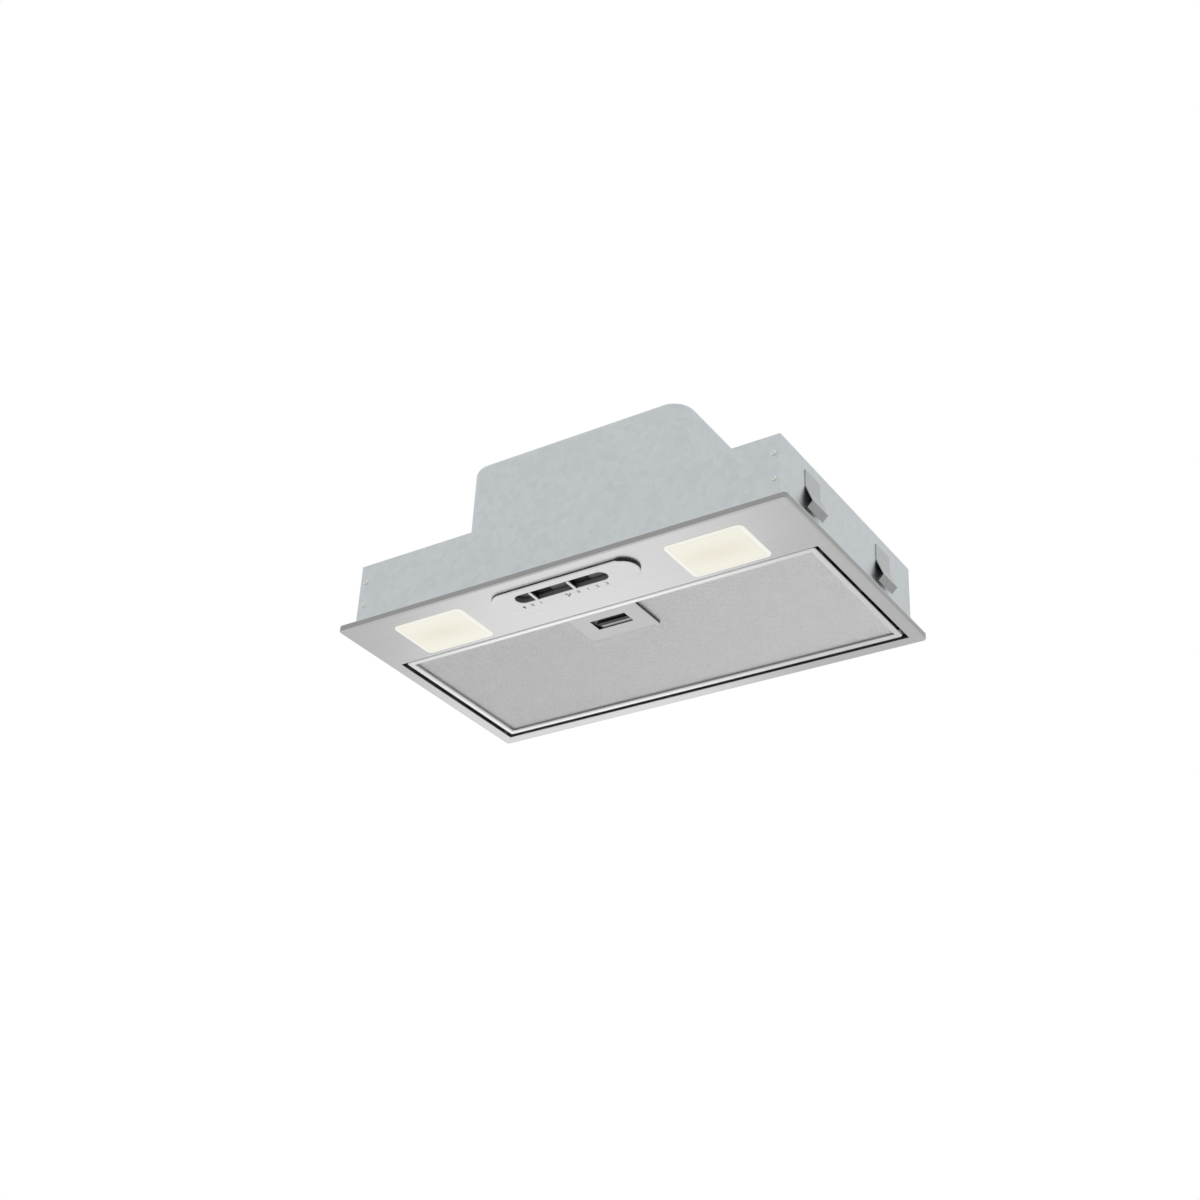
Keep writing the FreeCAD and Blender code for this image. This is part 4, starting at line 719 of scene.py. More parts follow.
ENAMEL = Moulding("White enamel", (0.93, 0.93, 0.92), 0.25, grain=2.0 * MM, spread=0.03)
SOCKET_WHITE = Moulding("Heat-proof white", (0.90, 0.89, 0.86), 0.3, spread=0.03)
LACQUER = Moulding("Black lacquer", (0.16, 0.16, 0.17), 0.3, grain=1.2 * MM, depth=0.02 * MM, spread=0.15)
RUBBER = Moulding("Soft rubber", (0.12, 0.12, 0.12), 0.75, grain=0.4 * MM, depth=0.03 * MM, spread=0.2)
SHEATH = Moulding("Grey sheath", (0.62, 0.62, 0.60), 0.55, grain=0.8 * MM, depth=0.02 * MM, spread=0.06)
CAN_PLASTIC = Moulding("Off-white can", (0.88, 0.88, 0.86), 0.3, spread=0.04)
INK = Moulding("Printing ink", (0.28, 0.28, 0.28), 0.6, grain=0.3 * MM, depth=0.005 * MM, spread=0.1)
FLOOR_PAINT = Moulding("Pale floor", (0.93, 0.93, 0.93), 0.85, grain=20.0 * MM, spread=0.01)
PEARL = PearlGlass("Pearl glass", (0.97, 0.96, 0.93), 0.2)
LENS = LitLens(
    "Lit lens", (0.902, 0.896, 0.868), 0.3, glow=(0.884, 0.870, 0.824), bulb=(0.857, 0.835, 0.775)
)


class NodeForm(Board):
    """A Geometry Nodes tree with named inputs, which turns a seed mesh into a finished mesh."""

    def __init__(self, name: str, sizes: Iterable[str]) -> None:
        """Start the tree.

        Args:
            name: Name of the tree.
            sizes: Names of its number inputs.
        """
        super().__init__(bpy.data.node_groups.new(name, "GeometryNodeTree"))
        sockets = [("Geometry", "OUTPUT", "Geometry"), ("Geometry", "INPUT", "Geometry")]
        sockets += [(size, "INPUT", "Float") for size in sizes]
        sockets += [("Material", "INPUT", "Material")]
        for label, side, kind in sockets:
            self.tree.interface.new_socket(label, in_out=side, socket_type="NodeSocket" + kind)
        self.entry = self.node("NodeGroupInput")

    def given(self, name: str) -> Signal:
        """One of the tree's inputs as a signal."""
        return Signal(self, self.entry.outputs[name])

    def vector(self, x: Signal | float = 0.0, y: Signal | float = 0.0, z: Signal | float = 0.0) -> Signal:
        """Vector of three numbers or signals."""
        return self.signal("ShaderNodeCombineXYZ", inputs={0: x, 1: y, 2: z})

    def moved(
        self,
        shape: Signal,
        offset: Signal | Point = (0.0, 0.0, 0.0),
        turn: Signal | Point = (0.0, 0.0, 0.0),
        scale: Signal | Point = (1.0, 1.0, 1.0),
    ) -> Signal:
        """Shape that is stretched, then turned about each axis in radians, then moved."""
        sockets = {"Geometry": shape, "Translation": offset, "Rotation": turn, "Scale": scale}
        return self.signal("GeometryNodeTransform", inputs=sockets)

    def joined(self, shapes: Sequence[Signal]) -> Signal:
        """Several shapes as one."""
        return self.signal("GeometryNodeJoinGeometry", inputs={0: list(shapes)})

    def rod(self, corners: int, radius: Signal | float, length: Signal | float, rings: int = 1) -> Signal:
        """Closed rod along Z, around its own middle, with its side divided into rings."""
        sockets = {"Vertices": corners, "Side Segments": rings, "Radius": radius, "Depth": length}
        return self.signal("GeometryNodeMeshCylinder", inputs=sockets)

    def close(self, points: Signal, shape: Signal, turn: Signal) -> None:
        """End the tree with a shape at every point, made real, with the material input on it.

        Args:
            points: Where the shape stands.
            shape: The shape.
            turn: How it is turned at each point.
        """
        sockets = {"Points": points, "Instance": shape, "Rotation": turn}
        copies = self.signal("GeometryNodeInstanceOnPoints", inputs=sockets)
        real = self.signal("GeometryNodeRealizeInstances", inputs={0: copies})
        sockets = {"Geometry": real, "Material": self.given("Material")}
        self.node("NodeGroupOutput", inputs={0: self.signal("GeometryNodeSetMaterial", inputs=sockets)})

    def mesh(
        self, name: str, seed: bpy.types.Mesh, finish: Finish, sizes: dict[str, float]
    ) -> bpy.types.Mesh:
        """Run the tree on a seed mesh.

        Args:
            name: Name of the new mesh.
            seed: Mesh that goes into the tree.
            finish: Finish of the material input.
            sizes: Values of the number inputs.

        Returns:
            The finished mesh.
        """
        carrier = linked(name + "_seed", seed)
        modifier = carrier.modifiers.new(self.tree.name, "NODES")
        modifier.node_group = self.tree
        values = {**sizes, "Material": finish.material()}
        for item in self.tree.interface.items_tree:
            if item.in_out == "INPUT" and item.name in values:
                modifier[item.identifier] = values[item.name]
        made = plain_mesh(carrier)
        made.name = name
        return made


class SubAssembly:
    """Pieces that belong together: the finishes of their nodes, and what is added to them."""

    def finishes(self) -> dict[Finish, str]:
        """Finishes, each with the names of the nodes that get it."""
        raise NotImplementedError

    def fit(self) -> None:
        """Add the sub-assembly's own pieces, where it has any."""

    def build(self) -> None:
        """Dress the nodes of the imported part, then add the other pieces."""
        for finish, nodes in self.finishes().items():
            for name in nodes.split():
                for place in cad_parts[name].material_slots:
                    place.material = finish.material()
                LOG.info("%s: %s", name, finish.name)
        self.fit()

    @staticmethod
    def add(
        name: str, mesh: bpy.types.Mesh, finish: Finish, body: str, slot: str, replaced: str | None = None
    ) -> None:
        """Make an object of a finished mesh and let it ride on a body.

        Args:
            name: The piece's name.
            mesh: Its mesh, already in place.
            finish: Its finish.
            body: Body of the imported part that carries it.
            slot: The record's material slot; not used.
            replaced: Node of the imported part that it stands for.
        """
        mesh.materials.clear()
        mesh.materials.append(finish.material())
        piece = linked(name, mesh)
        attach(piece, body)
        if replaced:
            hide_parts(replaced)
        LOG.info("%s: %d faces on %s", name, len(mesh.polygons), body)


class Recess(Enum):
    """What is sunk into a fixing's head: a driver's cross, or the pit that a pulled rivet keeps."""

    CROSS = "cross"
    PIT = "pit"


@dataclass(frozen=True)
class Seat:
    """Where a fixing's head stands and which way it faces."""

    place: Vector
    outward: Vector
    head_radius: float
    length: float


@dataclass(frozen=True)
class Fixing(SubAssembly):
    """One kind of screw or rivet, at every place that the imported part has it."""

    node: str
    head_height: float
    shank_radius: float
    recess: Recess = Recess.CROSS
    recess_share: float = 0.62
    recess_depth: float = 0.6
    dome: float = 0.55
    set_radius: float = 2.3 * MM
    set_height: float = 1.0 * MM
    cross_bars: tuple[Pair, Pair] = ((2.0, 0.44), (0.44, 2.0))
    ring_share: float = 0.95

    def finishes(self) -> dict[Finish, str]:
        """Finish of the fixings."""
        return {ZINC: self.node}

    def seats(self) -> list[Seat]:
        """Read the fixings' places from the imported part's own solids.

        Returns:
            One seat for each solid of the node.
        """
        shape = bmesh.new()
        shape.from_mesh(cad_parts[self.node].data)
        bmesh.ops.remove_doubles(shape, verts=shape.verts, dist=WELD)
        waiting = set(shape.verts)
        found: list[Seat] = []
        while waiting:
            island = {waiting.pop()}
            front = list(island)
            while front:
                near = {e.other_vert(v) for v in front for e in v.link_edges}
                front = list(near & waiting)
                waiting.difference_update(front)
                island.update(front)
            found.append(self.seat([v.co.copy() for v in island]))
        shape.free()
        return sorted(found, key=lambda seat: tuple(seat.place))

    def seat(self, points: list[Vector]) -> Seat:
        """Work out one fixing's seat: its head is at the end that its widest ring is nearer to.

        Args:
            points: Corners of its solid.

        Returns:
            The seat, at the outer end of its head.
        """
        low = Vector(min(p[k] for p in points) for k in range(3))
        high = Vector(max(p[k] for p in points) for k in range(3))
        span = high - low
        middle = (low + high) / 2.0
        across = ((1, 2), (0, 2), (0, 1))
        axis = min(range(3), key=lambda k: abs(span[across[k][0]] - span[across[k][1]]))
        reach = [math.hypot(*(p[k] - middle[k] for k in across[axis])) for p in points]
        ring = [p[axis] for p, r in zip(points, reach) if r > self.ring_share * max(reach)]
        faces_up = sum(ring) / len(ring) > middle[axis]
        outward = Vector((0.0, 0.0, 0.0))
        outward[axis] = 1.0 if faces_up else -1.0
        middle[axis] = high[axis] if faces_up else low[axis]
        return Seat(middle, outward, max(reach), span[axis])

    def shape(self, form: NodeForm) -> None:
        """Fill in the tree of the fixing: a domed head with its recess, on a shank, at every seat.

        Args:
            form: The tree.
        """
        height, size, depth = (form.given(name) for name in ("Head Height", "Recess Size", "Recess Depth"))
        barrel = form.rod(corners=24, radius=form.given("Head Radius"), length=height, rings=5)
        x, y, z = form.axes(form.signal("GeometryNodeInputPosition"))
        rise = z / height + 0.5
        draw = (1.0 - rise * rise * form.given("Dome")).root()
        sockets = {"Geometry": barrel, "Position": form.vector(x * draw, y * draw, z)}
        head = form.signal("GeometryNodeSetPosition", inputs=sockets)
        head = form.moved(head, form.vector(z=height / -2.0))
        cutters = [form.rod(corners=12, radius=size, length=depth * 2.0)]
        if self.recess is Recess.CROSS:
            sides = [form.vector(size * wide, size * deep, depth * 2.0) for wide, deep in self.cross_bars]
            cutters = [form.signal("GeometryNodeMeshCube", inputs={"Size": side}) for side in sides]
        for cutter in cutters:
            sockets = {"Mesh 1": head, "Mesh 2": cutter}
            head = form.signal("GeometryNodeMeshBoolean", {"operation": "DIFFERENCE"}, sockets)
        length = form.given("Shank Length")
        shank = form.rod(corners=12, radius=form.given("Shank Radius"), length=length)
        parts = [head, form.moved(shank, form.vector(z=(height + length / 2.0) * -1.0))]
        if self.recess is Recess.PIT:
            thick = form.given("Set Height")
            tail = form.rod(corners=16, radius=form.given("Set Radius"), length=thick)
            parts.append(form.moved(tail, form.vector(z=thick / 2.0 - height - length)))
        settings = {"data_type": "FLOAT_VECTOR"}
        facing = form.signal("GeometryNodeInputNamedAttribute", settings, {"Name": "outward"})
        turn = form.signal("FunctionNodeAlignRotationToVector", {"axis": "Z"}, {"Vector": facing})
        form.close(form.given("Geometry"), form.joined(parts), turn)

    def fit(self) -> None:
        """Make all the fixings of this kind as one piece."""
        seats = self.seats()
        seed = bpy.data.meshes.new(self.node + "_seats")
        seed.from_pydata([tuple(seat.place) for seat in seats], [], [])
        facing = seed.attributes.new("outward", "FLOAT_VECTOR", "POINT")
        for entry, seat in zip(facing.data, seats):
            entry.vector = seat.outward
        sizes = {
            "Head Radius": seats[0].head_radius,
            "Head Height": self.head_height,
            "Dome": self.dome,
            "Shank Radius": self.shank_radius,
            "Shank Length": seats[0].length - self.head_height,
            "Recess Size": seats[0].head_radius * self.recess_share,
            "Recess Depth": self.head_height * self.recess_depth,
            "Set Radius": self.set_radius,
            "Set Height": self.set_height,
        }
        form = NodeForm("Fixing " + self.node, sizes)
        self.shape(form)
        mesh = form.mesh("heads_" + self.node, seed, ZINC, sizes)
        self.add("heads_" + self.node, mesh, ZINC, "hood", "zinc", self.node)


@dataclass
class Fascia(SubAssembly):
    """Folded stainless panel with its screws, the clips that hold it up and its front brackets."""

    seat: float = -0.6 * MM
    fold: float = 0.9 * MM
    screw_head: float = 1.4 * MM
    screw_shank: float = 1.4 * MM

    def finishes(self) -> dict[Finish, str]:
        """Finishes of the nodes, with painted shade on the panel's fold, between its face and its seat.

        Returns:
            Node names by finish.
        """
        low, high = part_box("fascia_panel")
        # The panel's outer walls, from just above its face up to its seat, get painted shade.
        sheet = replace(STAINLESS, fold=low.z + self.fold, top=self.seat, half=(high.x, high.y))
        return {sheet: "fascia_panel", SPRING_STEEL: "side_clips", GALVANISED: "front_brackets"}

    def fit(self) -> None:
        """Set the panel's screws."""
        Fixing("fascia_screws", self.screw_head, self.screw_shank).build()


@dataclass
class LampPair(SubAssembly):
    """Two lit lenses with the trays, sockets and bulbs behind them."""

    def finishes(self) -> dict[Finish, str]:
        """Finishes of both lamps, with the glow centred on each lens.

        Returns:
            Node names by finish.
        """
        low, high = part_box("lamp_lens_right")
        middle, half = (low + high) / 2.0, (high - low) / 2.0
        lens = replace(LENS, middle=(middle.x, middle.y), half=(half.x, half.y))
        return {
            lens: "lamp_lens_left lamp_lens_right",
            ENAMEL: "lamp_tray_left lamp_tray_right",
            SOCKET_WHITE: "lamp_socket_left lamp_socket_right",
            PEARL: "lamp_bulb_left lamp_bulb_right",
            CAP_METAL: "bulb_cap_left bulb_cap_right",
            SHEATH: "lamp_leads",
        }


@dataclass
class SlideControls(SubAssembly):
    """Raised boss with its two slides, and the plain numerals and signs printed on it.

    The fan's blades and the lamp's cap are given as shares of the fan's reach and the bulb's radius.
    """

    coat: float = 0.8 * MM
    fin_coat: float = 1.2 * MM
    skirt: float = 1.8 * MM
    walls: Pair = (12.5 * MM, 13.5 * MM)
    right_end: Pair = (66.0 * MM, 73.0 * MM)
    slot_middle: Pair = (-3.0 * MM, -118.7 * MM)
    slot_half: Pair = (53.7 * MM, 8.2 * MM)
    row: float = -104.9 * MM
    film: float = 0.03 * MM
    speeds: int = 4
    speed_step: float = 11.0 * MM
    light_step: float = 10.0 * MM
    figure_height: float = 4.4 * MM
    font_share: float = 1.35
    stroke: float = 0.12 * MM
    fan_x: float = -3.5 * MM
    fan_reach: float = 3.5 * MM
    fan_blades: int = 3
    blade_middle: Pair = (0.57, 0.13)
    blade_half: Pair = (0.43, 0.31)
    blade_corners: int = 14
    bulb_share: float = 0.36
    bulb_lift: float = 0.45
    bulb_corners: int = 20
    cap: tuple[Pair, ...] = ((-0.5, -1.5), (0.5, -1.5), (0.5, -0.75), (-0.5, -0.75))

    def finishes(self) -> dict[Finish, str]:
        """Finishes of the boss, its slot and the slides, with painted shade on the walls of the boss and the
        fins.

        Returns:
            Node names by finish.
        """
        low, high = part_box("control_bezel")
        # The boss's walls, right end and slot walls get painted shade, with a painted shadow line at the foot
        # of its long walls.
        boss = replace(
            BOSS_PLASTIC,
            edge=low.z + self.coat,
            middle=(low.y + high.y) / 2.0,
            walls=self.walls,
            right_end=self.right_end,
            rise=self.skirt,
            slot_middle=self.slot_middle,
            slot_half=self.slot_half,
        )
        # The fins are pale only at their tips; above, they take painted shade.
        fins = replace(FIN_PLASTIC, edge=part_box("speed_index")[0].z + self.fin_coat)
        return {
            boss: "control_bezel",
            fins: "light_index speed_index",
            SLOT_PLASTIC: "switch_box",
            # The sliders are black plastic, which also stands in for the shadow beside each fin.
            BLACK_PLASTIC: "light_slider speed_slider",
        }

    def flat(self, shape: bpy.types.Mesh, x: float) -> bpy.types.Mesh:
        """Turn a mesh drawn in the plane to face down, and set it in the row of marks.

        Args:
            shape: Mesh around its own origin, with up as +Y.
            x: Place along the boss.

        Returns:
            The same mesh, in place.
        """
        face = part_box("control_bezel")[0].z
        shape.transform(Matrix.Translation((x, self.row, face)) @ Matrix.Rotation(math.pi, 4, "X"))
        return shape

    def numeral(self, figure: str, x: float) -> bpy.types.Mesh:
        """Draw one numeral.

        Args:
            figure: The digit.
            x: Place along the boss.

        Returns:
            Its mesh, in place.
        """
        curve = bpy.data.curves.new("numeral_" + figure, "FONT")
        curve.body = figure
        curve.size = self.figure_height * self.font_share
        curve.align_x = "CENTER"
        curve.align_y = "CENTER"
        curve.extrude = self.film / 2.0
        curve.offset = self.stroke
        return self.flat(plain_mesh(linked("numeral", curve)), x)

    def sign(self, name: str, outlines: Sequence[Sequence[Pair]], x: float) -> bpy.types.Mesh:
        """Draw a sign of thin flat pieces.

        Args:
            name: Name of the mesh.
            outlines: Points of each piece's outline, anticlockwise.
            x: Place along the boss.

        Returns:
            Its mesh, in place.
        """
        shape = bmesh.new()
        for outline in outlines:
            lower = [shape.verts.new((u, v, -self.film / 2.0)) for u, v in outline]
            upper = [shape.verts.new((u, v, self.film / 2.0)) for u, v in outline]
            shape.faces.new(upper)
            shape.faces.new(list(reversed(lower)))
            for k in range(len(outline)):
                following = (k + 1) % len(outline)
                shape.faces.new((lower[k], lower[following], upper[following], upper[k]))
        return self.flat(written_mesh(name, shape), x)

    @staticmethod
    def circle(count: int) -> list[Pair]:
        """Points of a unit circle, anticlockwise."""
        angles = [k * math.tau / count for k in range(count)]
        return [(math.cos(angle), math.sin(angle)) for angle in angles]

    def fan_blade(self, turn: float) -> list[Pair]:
        """Outline of one blade of the fan.

        Args:
            turn: Angle of the blade in radians.

        Returns:
            Its points.
        """
        (along, across), (length, width) = self.blade_middle, self.blade_half
        reach, cos, sin = self.fan_reach, math.cos(turn), math.sin(turn)
        ring = self.circle(self.blade_corners)
        points = [(reach * (along + length * u), reach * (width * v + across)) for u, v in ring]
        return [(u * cos - v * sin, u * sin + v * cos) for u, v in points]

    def fit(self) -> None:
        """Print all the marks as one piece."""
        speed, light = (sum(c.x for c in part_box(node)) / 2.0 for node in ("speed_index", "light_index"))
        drawn = [self.numeral(str(k), speed + k * self.speed_step) for k in range(self.speeds)]
        drawn += [self.numeral("1", light), self.numeral("0", light - self.light_step)]
        blades = [self.fan_blade(k * math.tau / self.fan_blades) for k in range(self.fan_blades)]
        drawn.append(self.sign("fan_sign", blades, self.fan_x))
        radius = self.figure_height * self.bulb_share
        ring = self.circle(self.bulb_corners)
        bulb = [(radius * u, radius * (v + self.bulb_lift)) for u, v in ring]
        cap = [(radius * u, radius * v) for u, v in self.cap]
        drawn.append(self.sign("lamp_sign", [bulb, cap], light - 2.0 * self.light_step))
        shape = bmesh.new()
        for mark in drawn:
            shape.from_mesh(mark)
        bmesh.ops.remove_doubles(shape, verts=shape.verts, dist=WELD)
        bmesh.ops.recalc_face_normals(shape, faces=shape.faces)
        self.add("control_marks", written_mesh("control_marks", shape), INK, "hood", "black_plastic")


@dataclass
class GreaseFilter(SubAssembly):
    """Drop-down filter: expanded mesh below and above, with a crinkled fleece between them."""

    bead_round: float = 1.0 * MM
    bead_height: float = 2.9 * MM
    long_way: float = 5.2 * MM
    short_way: float = 2.8 * MM
    strand_width: float = 1.15 * MM
    strand_thickness: float = 0.4 * MM
    strand_roll: float = 0.35
    strand_spread: Point = (0.05, 0.03, 0.02)
    strand_seed: int = 7
    notch_width: float = 53.0 * MM
    fleece_pitch: float = 3.2 * MM
    fleece_rise: float = 0.5 * MM
    fleece_gap: float = 0.5 * MM
    fleece_waves: float = 420.0
    fleece_levels: Pair = (1.0, 9.0)

    def finishes(self) -> dict[Finish, str]:
        """Finishes of the frame, its pivots and the layers, with painted shade on the frame's walls.

        Returns:
            Node names by finish.
        """
        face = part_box("filter_frame")[0].z
        # The frame's walls, between the bead's round and its top, get painted shade.
        rim = replace(RIM_ALUMINIUM, fold=face + self.bead_round, top=face + self.bead_height)
        return {
            rim: "filter_frame",
            GROUND_STEEL: "filter_pins",
            BLACK_PLASTIC: "pivot_bearings",
            MESH_WIRE: "filter_mesh_lower filter_mesh_upper",
            FLEECE: "filter_pad",
        }

    def sizes(self, node: str) -> dict[str, float]:
        """Sizes of the expanded sheet that stands for one mesh layer.

        Args:
            node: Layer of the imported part.

        Returns:
            Values of the tree's inputs.
        """
        low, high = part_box(node)
        return {
            "Width": high.x - low.x,
            "Depth": high.y - low.y,
            "Long Way": self.long_way,
            "Short Way": self.short_way,
            "Strand Width": self.strand_width,
            "Strand Thickness": self.strand_thickness,
            "Strand Roll": self.strand_roll,
            "Notch Width": self.notch_width,
            "Notch Depth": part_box("latch_cover")[1].y - low.y + self.short_way / 2.0,
        }

    def weave(self, form: NodeForm) -> None:
        """Fill in the tree of an expanded sheet: pairs of strands on a staggered grid of knots.

        Args:
            form: The tree.
        """
        long_way, short_way = form.given("Long Way"), form.given("Short Way")
        columns = (form.given("Width") / long_way - 1.0).floor()
        rows = (form.given("Depth") / short_way).floor()
        grids: list[Signal] = []
        for extra in (1.0, 0.0):
            sockets = {
                "Size X": (columns + (extra - 1.0)) * long_way,
                "Size Y": (rows + (extra - 1.0)) * short_way,
                "Vertices X": columns + extra,
                "Vertices Y": rows + extra,
            }
            grids.append(form.signal("GeometryNodeMeshGrid", inputs=sockets))
        x, y, _ = form.axes(form.signal("GeometryNodeInputPosition"))
        in_notch = abs(x).below(form.given("Notch Width") / 2.0 + long_way / 2.0)
        in_notch = in_notch * y.below(form.given("Notch Depth") - form.given("Depth") / 2.0)
        last_row = 1.0 - y.below(rows * short_way / 2.0 - short_way / 4.0)
        sockets = {0: form.joined(grids), 1: in_notch.larger(last_row)}
        knots = form.signal("GeometryNodeDeleteGeometry", {"domain": "POINT"}, sockets)
        length = (long_way * long_way + short_way * short_way).root() / 2.0
        lean = short_way.angle(long_way)
        # A three-cornered rod of radius 1 is 1.5 high and the root of 3 wide.
        thick, wide = form.given("Strand Thickness") / 1.5, form.given("Strand Width") / math.sqrt(3.0)
        strand = form.rod(corners=3, radius=1.0, length=length)
        strand = form.moved(strand, turn=(0.0, -math.pi / 2.0, 0.0), scale=form.vector(thick, wide, 1.0))
        strand = form.moved(strand, form.vector(length / 2.0), form.vector(form.given("Strand Roll")))
        pair = [form.moved(strand, turn=form.vector(z=turn)) for turn in (lean, math.pi - lean)]
        most = self.strand_spread
        sockets = {"Min": tuple(-angle for angle in most), "Max": most, "Seed": self.strand_seed}
        spread = form.signal("FunctionNodeRandomValue", {"data_type": "FLOAT_VECTOR"}, sockets)
        form.close(knots, form.joined(pair), spread)

    def batt(self) -> bpy.types.Mesh:
        """Make the crinkled batt between the two sheets.

        Returns:
            Its mesh.
        """
        low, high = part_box("filter_pad")
        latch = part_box("latch_cover")
        columns = round((high.x - low.x) / self.fleece_pitch)
        rows = round((high.y - low.y) / self.fleece_pitch)
        shape = bmesh.new()
        cells: dict[tuple[int, int], tuple[bmesh.types.BMVert, bmesh.types.BMVert]] = {}

        def place(i: int, j: int) -> Pair:
            """Where one grid point lies."""
            return low.x + (high.x - low.x) * i / columns, low.y + (high.y - low.y) * j / rows

        def corner(i: int, j: int) -> tuple[bmesh.types.BMVert, bmesh.types.BMVert]:
            """Give the vertices of one grid point, made on the first call.

            Args:
                i: Column of the point.
                j: Row of the point.

            Returns:
                The lower and the upper vertex.
            """
            if (i, j) not in cells:
                x, y = place(i, j)
                u, v = x * self.fleece_waves, y * self.fleece_waves
                spots = [(u, v, level) for level in self.fleece_levels]
                lift, sink = (self.fleece_rise * (1.0 + noise.noise(spot)) / 2.0 for spot in spots)
                cells[i, j] = (shape.verts.new((x, y, low.z + lift)), shape.verts.new((x, y, high.z - sink)))
            return cells[i, j]

        def kept(i: int, j: int) -> bool:
            """Tell whether one cell of the grid is there, which it is where it is clear of the latch.

            Args:
                i: Column of the cell.
                j: Row of the cell.

            Returns:
                Whether it is there.
            """
            if not (0 <= i < columns and 0 <= j < rows):
                return False
            (x0, y0), x1 = place(i, j), place(i + 1, j)[0]
            gap = self.fleece_gap
            return x1 < latch[0].x - gap or x0 > latch[1].x + gap or y0 > latch[1].y + gap

        for i, j in ((i, j) for i in range(columns) for j in range(rows) if kept(i, j)):
            ring = [corner(*p) for p in ((i, j), (i + 1, j), (i + 1, j + 1), (i, j + 1))]
            shape.faces.new([pair[1] for pair in ring])
            shape.faces.new([pair[0] for pair in reversed(ring)])
            for side, (di, dj) in enumerate(((0, -1), (1, 0), (0, 1), (-1, 0))):
                if not kept(i + di, j + dj):
                    first, second = ring[side], ring[(side + 1) % 4]
                    shape.faces.new((first[0], second[0], second[1], first[1]))
        return written_mesh("fleece_batt", shape)

    def fit(self) -> None:
        """Make both sheets and the batt."""
        layers = ("filter_mesh_lower", "filter_mesh_upper")
        form = NodeForm("Expanded sheet", self.sizes(layers[0]))
        self.weave(form)
        for node in layers:
            seed = bpy.data.meshes.new(node + "_seed")
            mesh = form.mesh("sheet_" + node, seed, MESH_WIRE, self.sizes(node))
            low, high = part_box(node)
            mesh.transform(Matrix.Translation((low + high) / 2.0))
            self.add("sheet_" + node, mesh, MESH_WIRE, "filter", "filter_mesh", node)
        self.add("fleece_batt", self.batt(), FLEECE, "filter", "filter_fleece", "filter_pad")


@dataclass
class FilterLatch(SubAssembly):
    """Finger latch at the filter's front edge."""

    coat: float = 0.4 * MM
    strip_front: float = -27.8 * MM
    strip_left: float = -16.5 * MM

    def finishes(self) -> dict[Finish, str]:
        """Finishes of the latch: its plate pale on the lower face and its tab along the back edge only, with
        painted shade on the rest of both.

        Returns:
            Node names by finish.
        """
        plate, tab = (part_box(node)[0].z + self.coat for node in ("latch_plate", "latch_slider"))
        return {
            # The plate's walls and the tab outside its strip get painted shade, the tab's as the shadow in
            # the finger slot.
            replace(PLATE_PLASTIC, edge=plate): "latch_plate",
            replace(TAB_PLASTIC, edge=tab, front=self.strip_front, left=self.strip_left): "latch_slider",
            LATCH_PLASTIC: "latch_cover",
            SPRING_STEEL: "latch_spring latch_catch",
        }


@dataclass
class BodyBox(SubAssembly):
    """Galvanised box above the fascia, with the upper housing on it."""

    screw_head: float = 2.2 * MM
    screw_shank: float = 1.9 * MM
    rivet_head: float = 1.0 * MM
    rivet_shank: float = 1.6 * MM
    rivet_dome: float = 0.7
    pit_share: float = 0.3
    pit_depth: float = 0.7

    def finishes(self) -> dict[Finish, str]:
        """Finish of the sheets."""
        return {GALVANISED: "body_wrap end_plate_left end_plate_right motor_cover"}

    def fit(self) -> None:
        """Set the screws and rivets."""
        Fixing("housing_screws", self.screw_head, self.screw_shank).build()
        pit = (Recess.PIT, self.pit_share, self.pit_depth, self.rivet_dome)
        Fixing("shell_rivets", self.rivet_head, self.rivet_shank, *pit).build()


@dataclass
class AirOutlet(SubAssembly):
    """Duct collar with its two backdraught flaps."""

    def finishes(self) -> dict[Finish, str]:
        """Finishes of the collar, the flaps and their pin."""
        return {BLACK_PLASTIC: "outlet_collar flap_left flap_right", ZINC: "flap_pin"}


@dataclass
class Blower(SubAssembly):
    """Scroll, fan wheel and motor."""

    scroll_head: float = 2.0 * MM
    scroll_shank: float = 1.7 * MM
    motor_head: float = 2.4 * MM
    motor_shank: float = 2.0 * MM

    def finishes(self) -> dict[Finish, str]:
        """Finishes of the scroll, the turning set and the motor.

        Returns:
            Node names by finish.
        """
        return {
            GREY_PLASTIC: "scroll_left scroll_right fan_wheel",
            GROUND_STEEL: "motor_shaft",
            LACQUER: "motor_body",
            RUBBER: "motor_bushes",
            GALVANISED: "motor_bracket",
            ZINC: "hub_nut",
        }

    def fit(self) -> None:
        """Set the screws of the scroll and the motor."""
        Fixing("scroll_screws", self.scroll_head, self.scroll_shank).build()
        Fixing("motor_screws", self.motor_head, self.motor_shank).build()


@dataclass
class Wiring(SubAssembly):
    """Terminal box with its gland, the motor's capacitor and its lead."""

    def finishes(self) -> dict[Finish, str]:
        """Finishes of the electrical parts.

        Returns:
            Node names by finish.
        """
        return {
            BLACK_PLASTIC: "terminal_box terminal_lid cable_gland",
            CAN_PLASTIC: "capacitor",
            GALVANISED: "capacitor_clip",
            SHEATH: "motor_lead",
        }


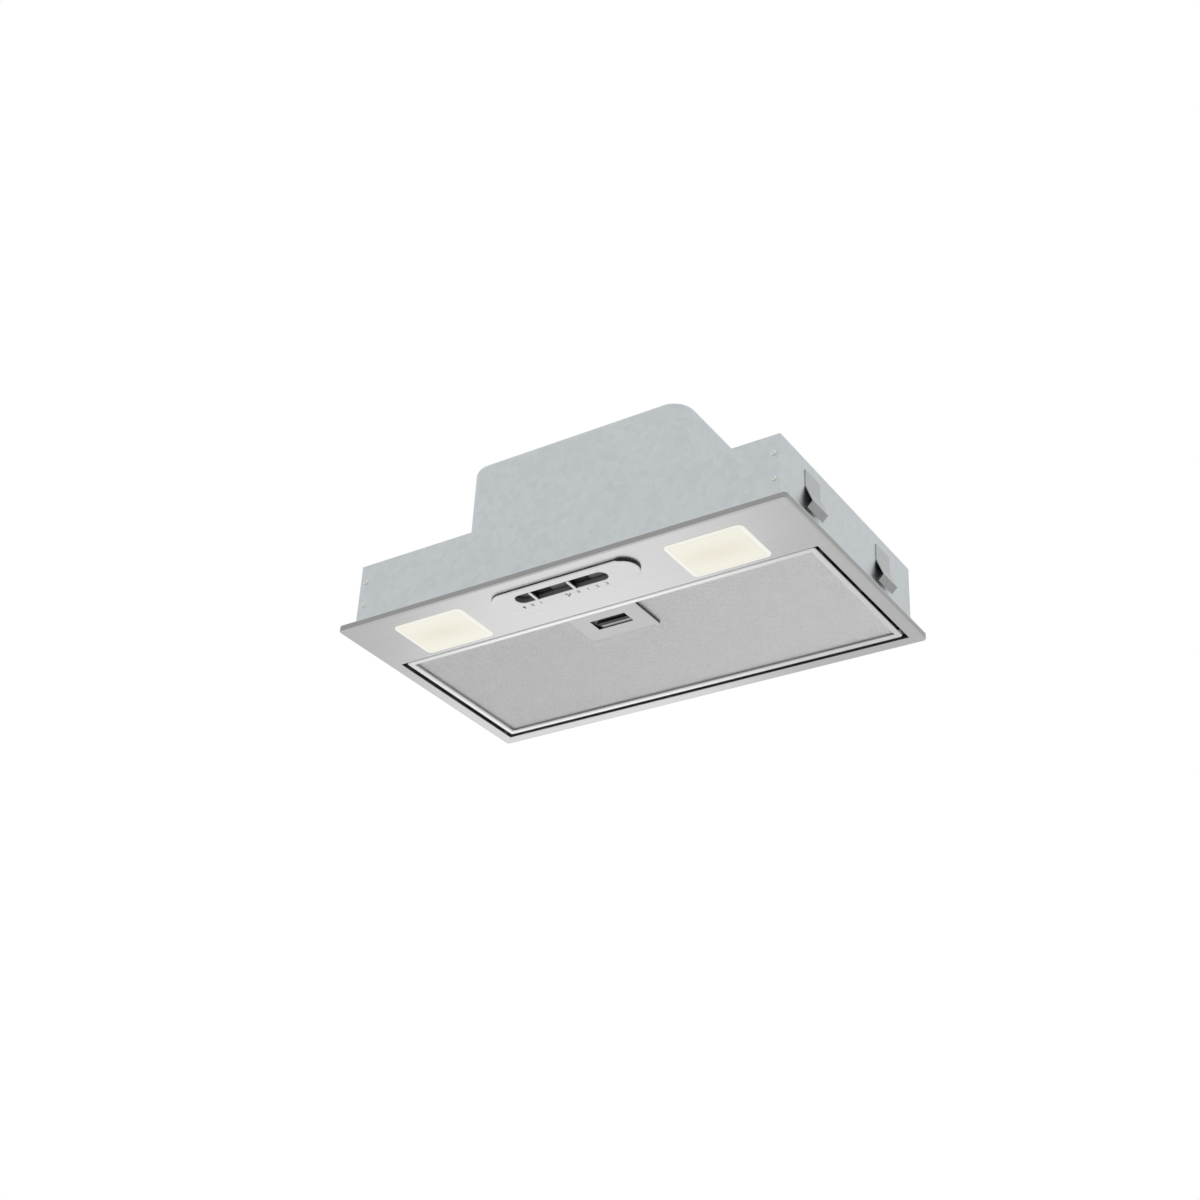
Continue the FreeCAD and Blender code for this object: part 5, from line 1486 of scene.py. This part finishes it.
@dataclass(frozen=True)
class Lamp:
    """One soft square lamp that faces a point."""

    name: str
    place: Point
    size: float
    power: float
    aim: Point = (0.0, 0.0, 0.0)
    mirrored: bool = False

    def hang(self) -> None:
        """Make the lamp. It shows in glossy surfaces only where mirrored is set."""
        data = bpy.data.lights.new(self.name, "AREA")
        data.shape = "SQUARE"
        data.size = self.size
        data.energy = self.power
        made = linked(self.name, data)
        made.location = self.place
        made.rotation_mode = "QUATERNION"
        made.rotation_quaternion = (Vector(self.aim) - Vector(self.place)).to_track_quat("-Z", "Y")
        made.visible_camera = False
        made.visible_glossy = self.mirrored


@dataclass
class Studio:
    """Camera, pale floor and soft light."""

    eye: Point = (0.8993, -1.3532, -0.9054)
    aim: Point = (0.0142, -0.0762, -0.007)
    roll: float = math.radians(3.105)
    lens: float = 54.73
    sensor: float = 36.0
    nearest: float = 0.01
    floor_level: float = -2.0
    floor_half: float = 200.0
    ambient: float = 0.8
    lamps: tuple[Lamp, ...] = (
        Lamp("key", (-1.3, -1.6, -0.8), 2.0, 13.5),
        Lamp("fill", (1.7, -0.9, 1.0), 2.0, 9.0),
        Lamp("top", (-0.6, 1.0, 1.8), 2.2, 10.0),
        Lamp("sheen", (-0.97, 1.32, -0.94), 0.65, 0.9, (0.0, -0.03, 0.0), True),
    )

    def camera(self) -> None:
        """Stand the camera below and in front of the hood, to its right."""
        data = bpy.data.cameras.new("camera")
        data.lens = self.lens
        data.sensor_width = self.sensor
        data.clip_start = self.nearest
        made = linked("camera", data)
        made.rotation_mode = "QUATERNION"
        made.location = self.eye
        level = (Vector(self.aim) - Vector(self.eye)).to_track_quat("-Z", "Y")
        made.rotation_quaternion = level @ Quaternion((0.0, 0.0, 1.0), self.roll)
        bpy.context.scene.camera = made

    def floor(self) -> None:
        """Lay a wide pale floor well below the camera."""
        half, level = self.floor_half, self.floor_level
        mesh = bpy.data.meshes.new("floor")
        corners = [(-half, -half, level), (half, -half, level), (half, half, level), (-half, half, level)]
        mesh.from_pydata(corners, [], [(0, 1, 2, 3)])
        mesh.materials.append(FLOOR_PAINT.material())
        linked("floor", mesh)

    def world(self) -> None:
        """Surround the hood with soft light that looks white."""
        world = bpy.data.worlds.new("studio")
        world.use_nodes = True
        world.node_tree.nodes.clear()
        board = Board(world.node_tree)
        path = board.node("ShaderNodeLightPath")
        kinds = ("Camera", "Glossy", "Transmission")
        camera, glossy, through = (Signal(board, path.outputs[f"Is {kind} Ray"]) for kind in kinds)
        seen = camera.larger(glossy).larger(through)
        strength = seen * (1.0 - self.ambient) + self.ambient
        sockets = {"Color": (1.0, 1.0, 1.0, 1.0), "Strength": strength}
        back = board.signal("ShaderNodeBackground", inputs=sockets)
        board.node("ShaderNodeOutputWorld", inputs={"Surface": back})
        bpy.context.scene.world = world

    def build(self) -> None:
        """Set up the whole studio."""
        self.camera()
        self.floor()
        self.world()
        for lamp in self.lamps:
            lamp.hang()
        bpy.context.scene.view_settings.view_transform = "Standard"


def main() -> None:
    """Build the studio, then each sub-assembly."""
    logging.basicConfig(level=logging.INFO, format="%(name)s %(message)s")
    Studio().build()
    kinds = (Fascia, LampPair, SlideControls, GreaseFilter, FilterLatch, BodyBox, AirOutlet, Blower, Wiring)
    for kind in kinds:
        LOG.info("building %s", kind.__name__)
        kind().build()


if __name__ == "__main__":
    main()
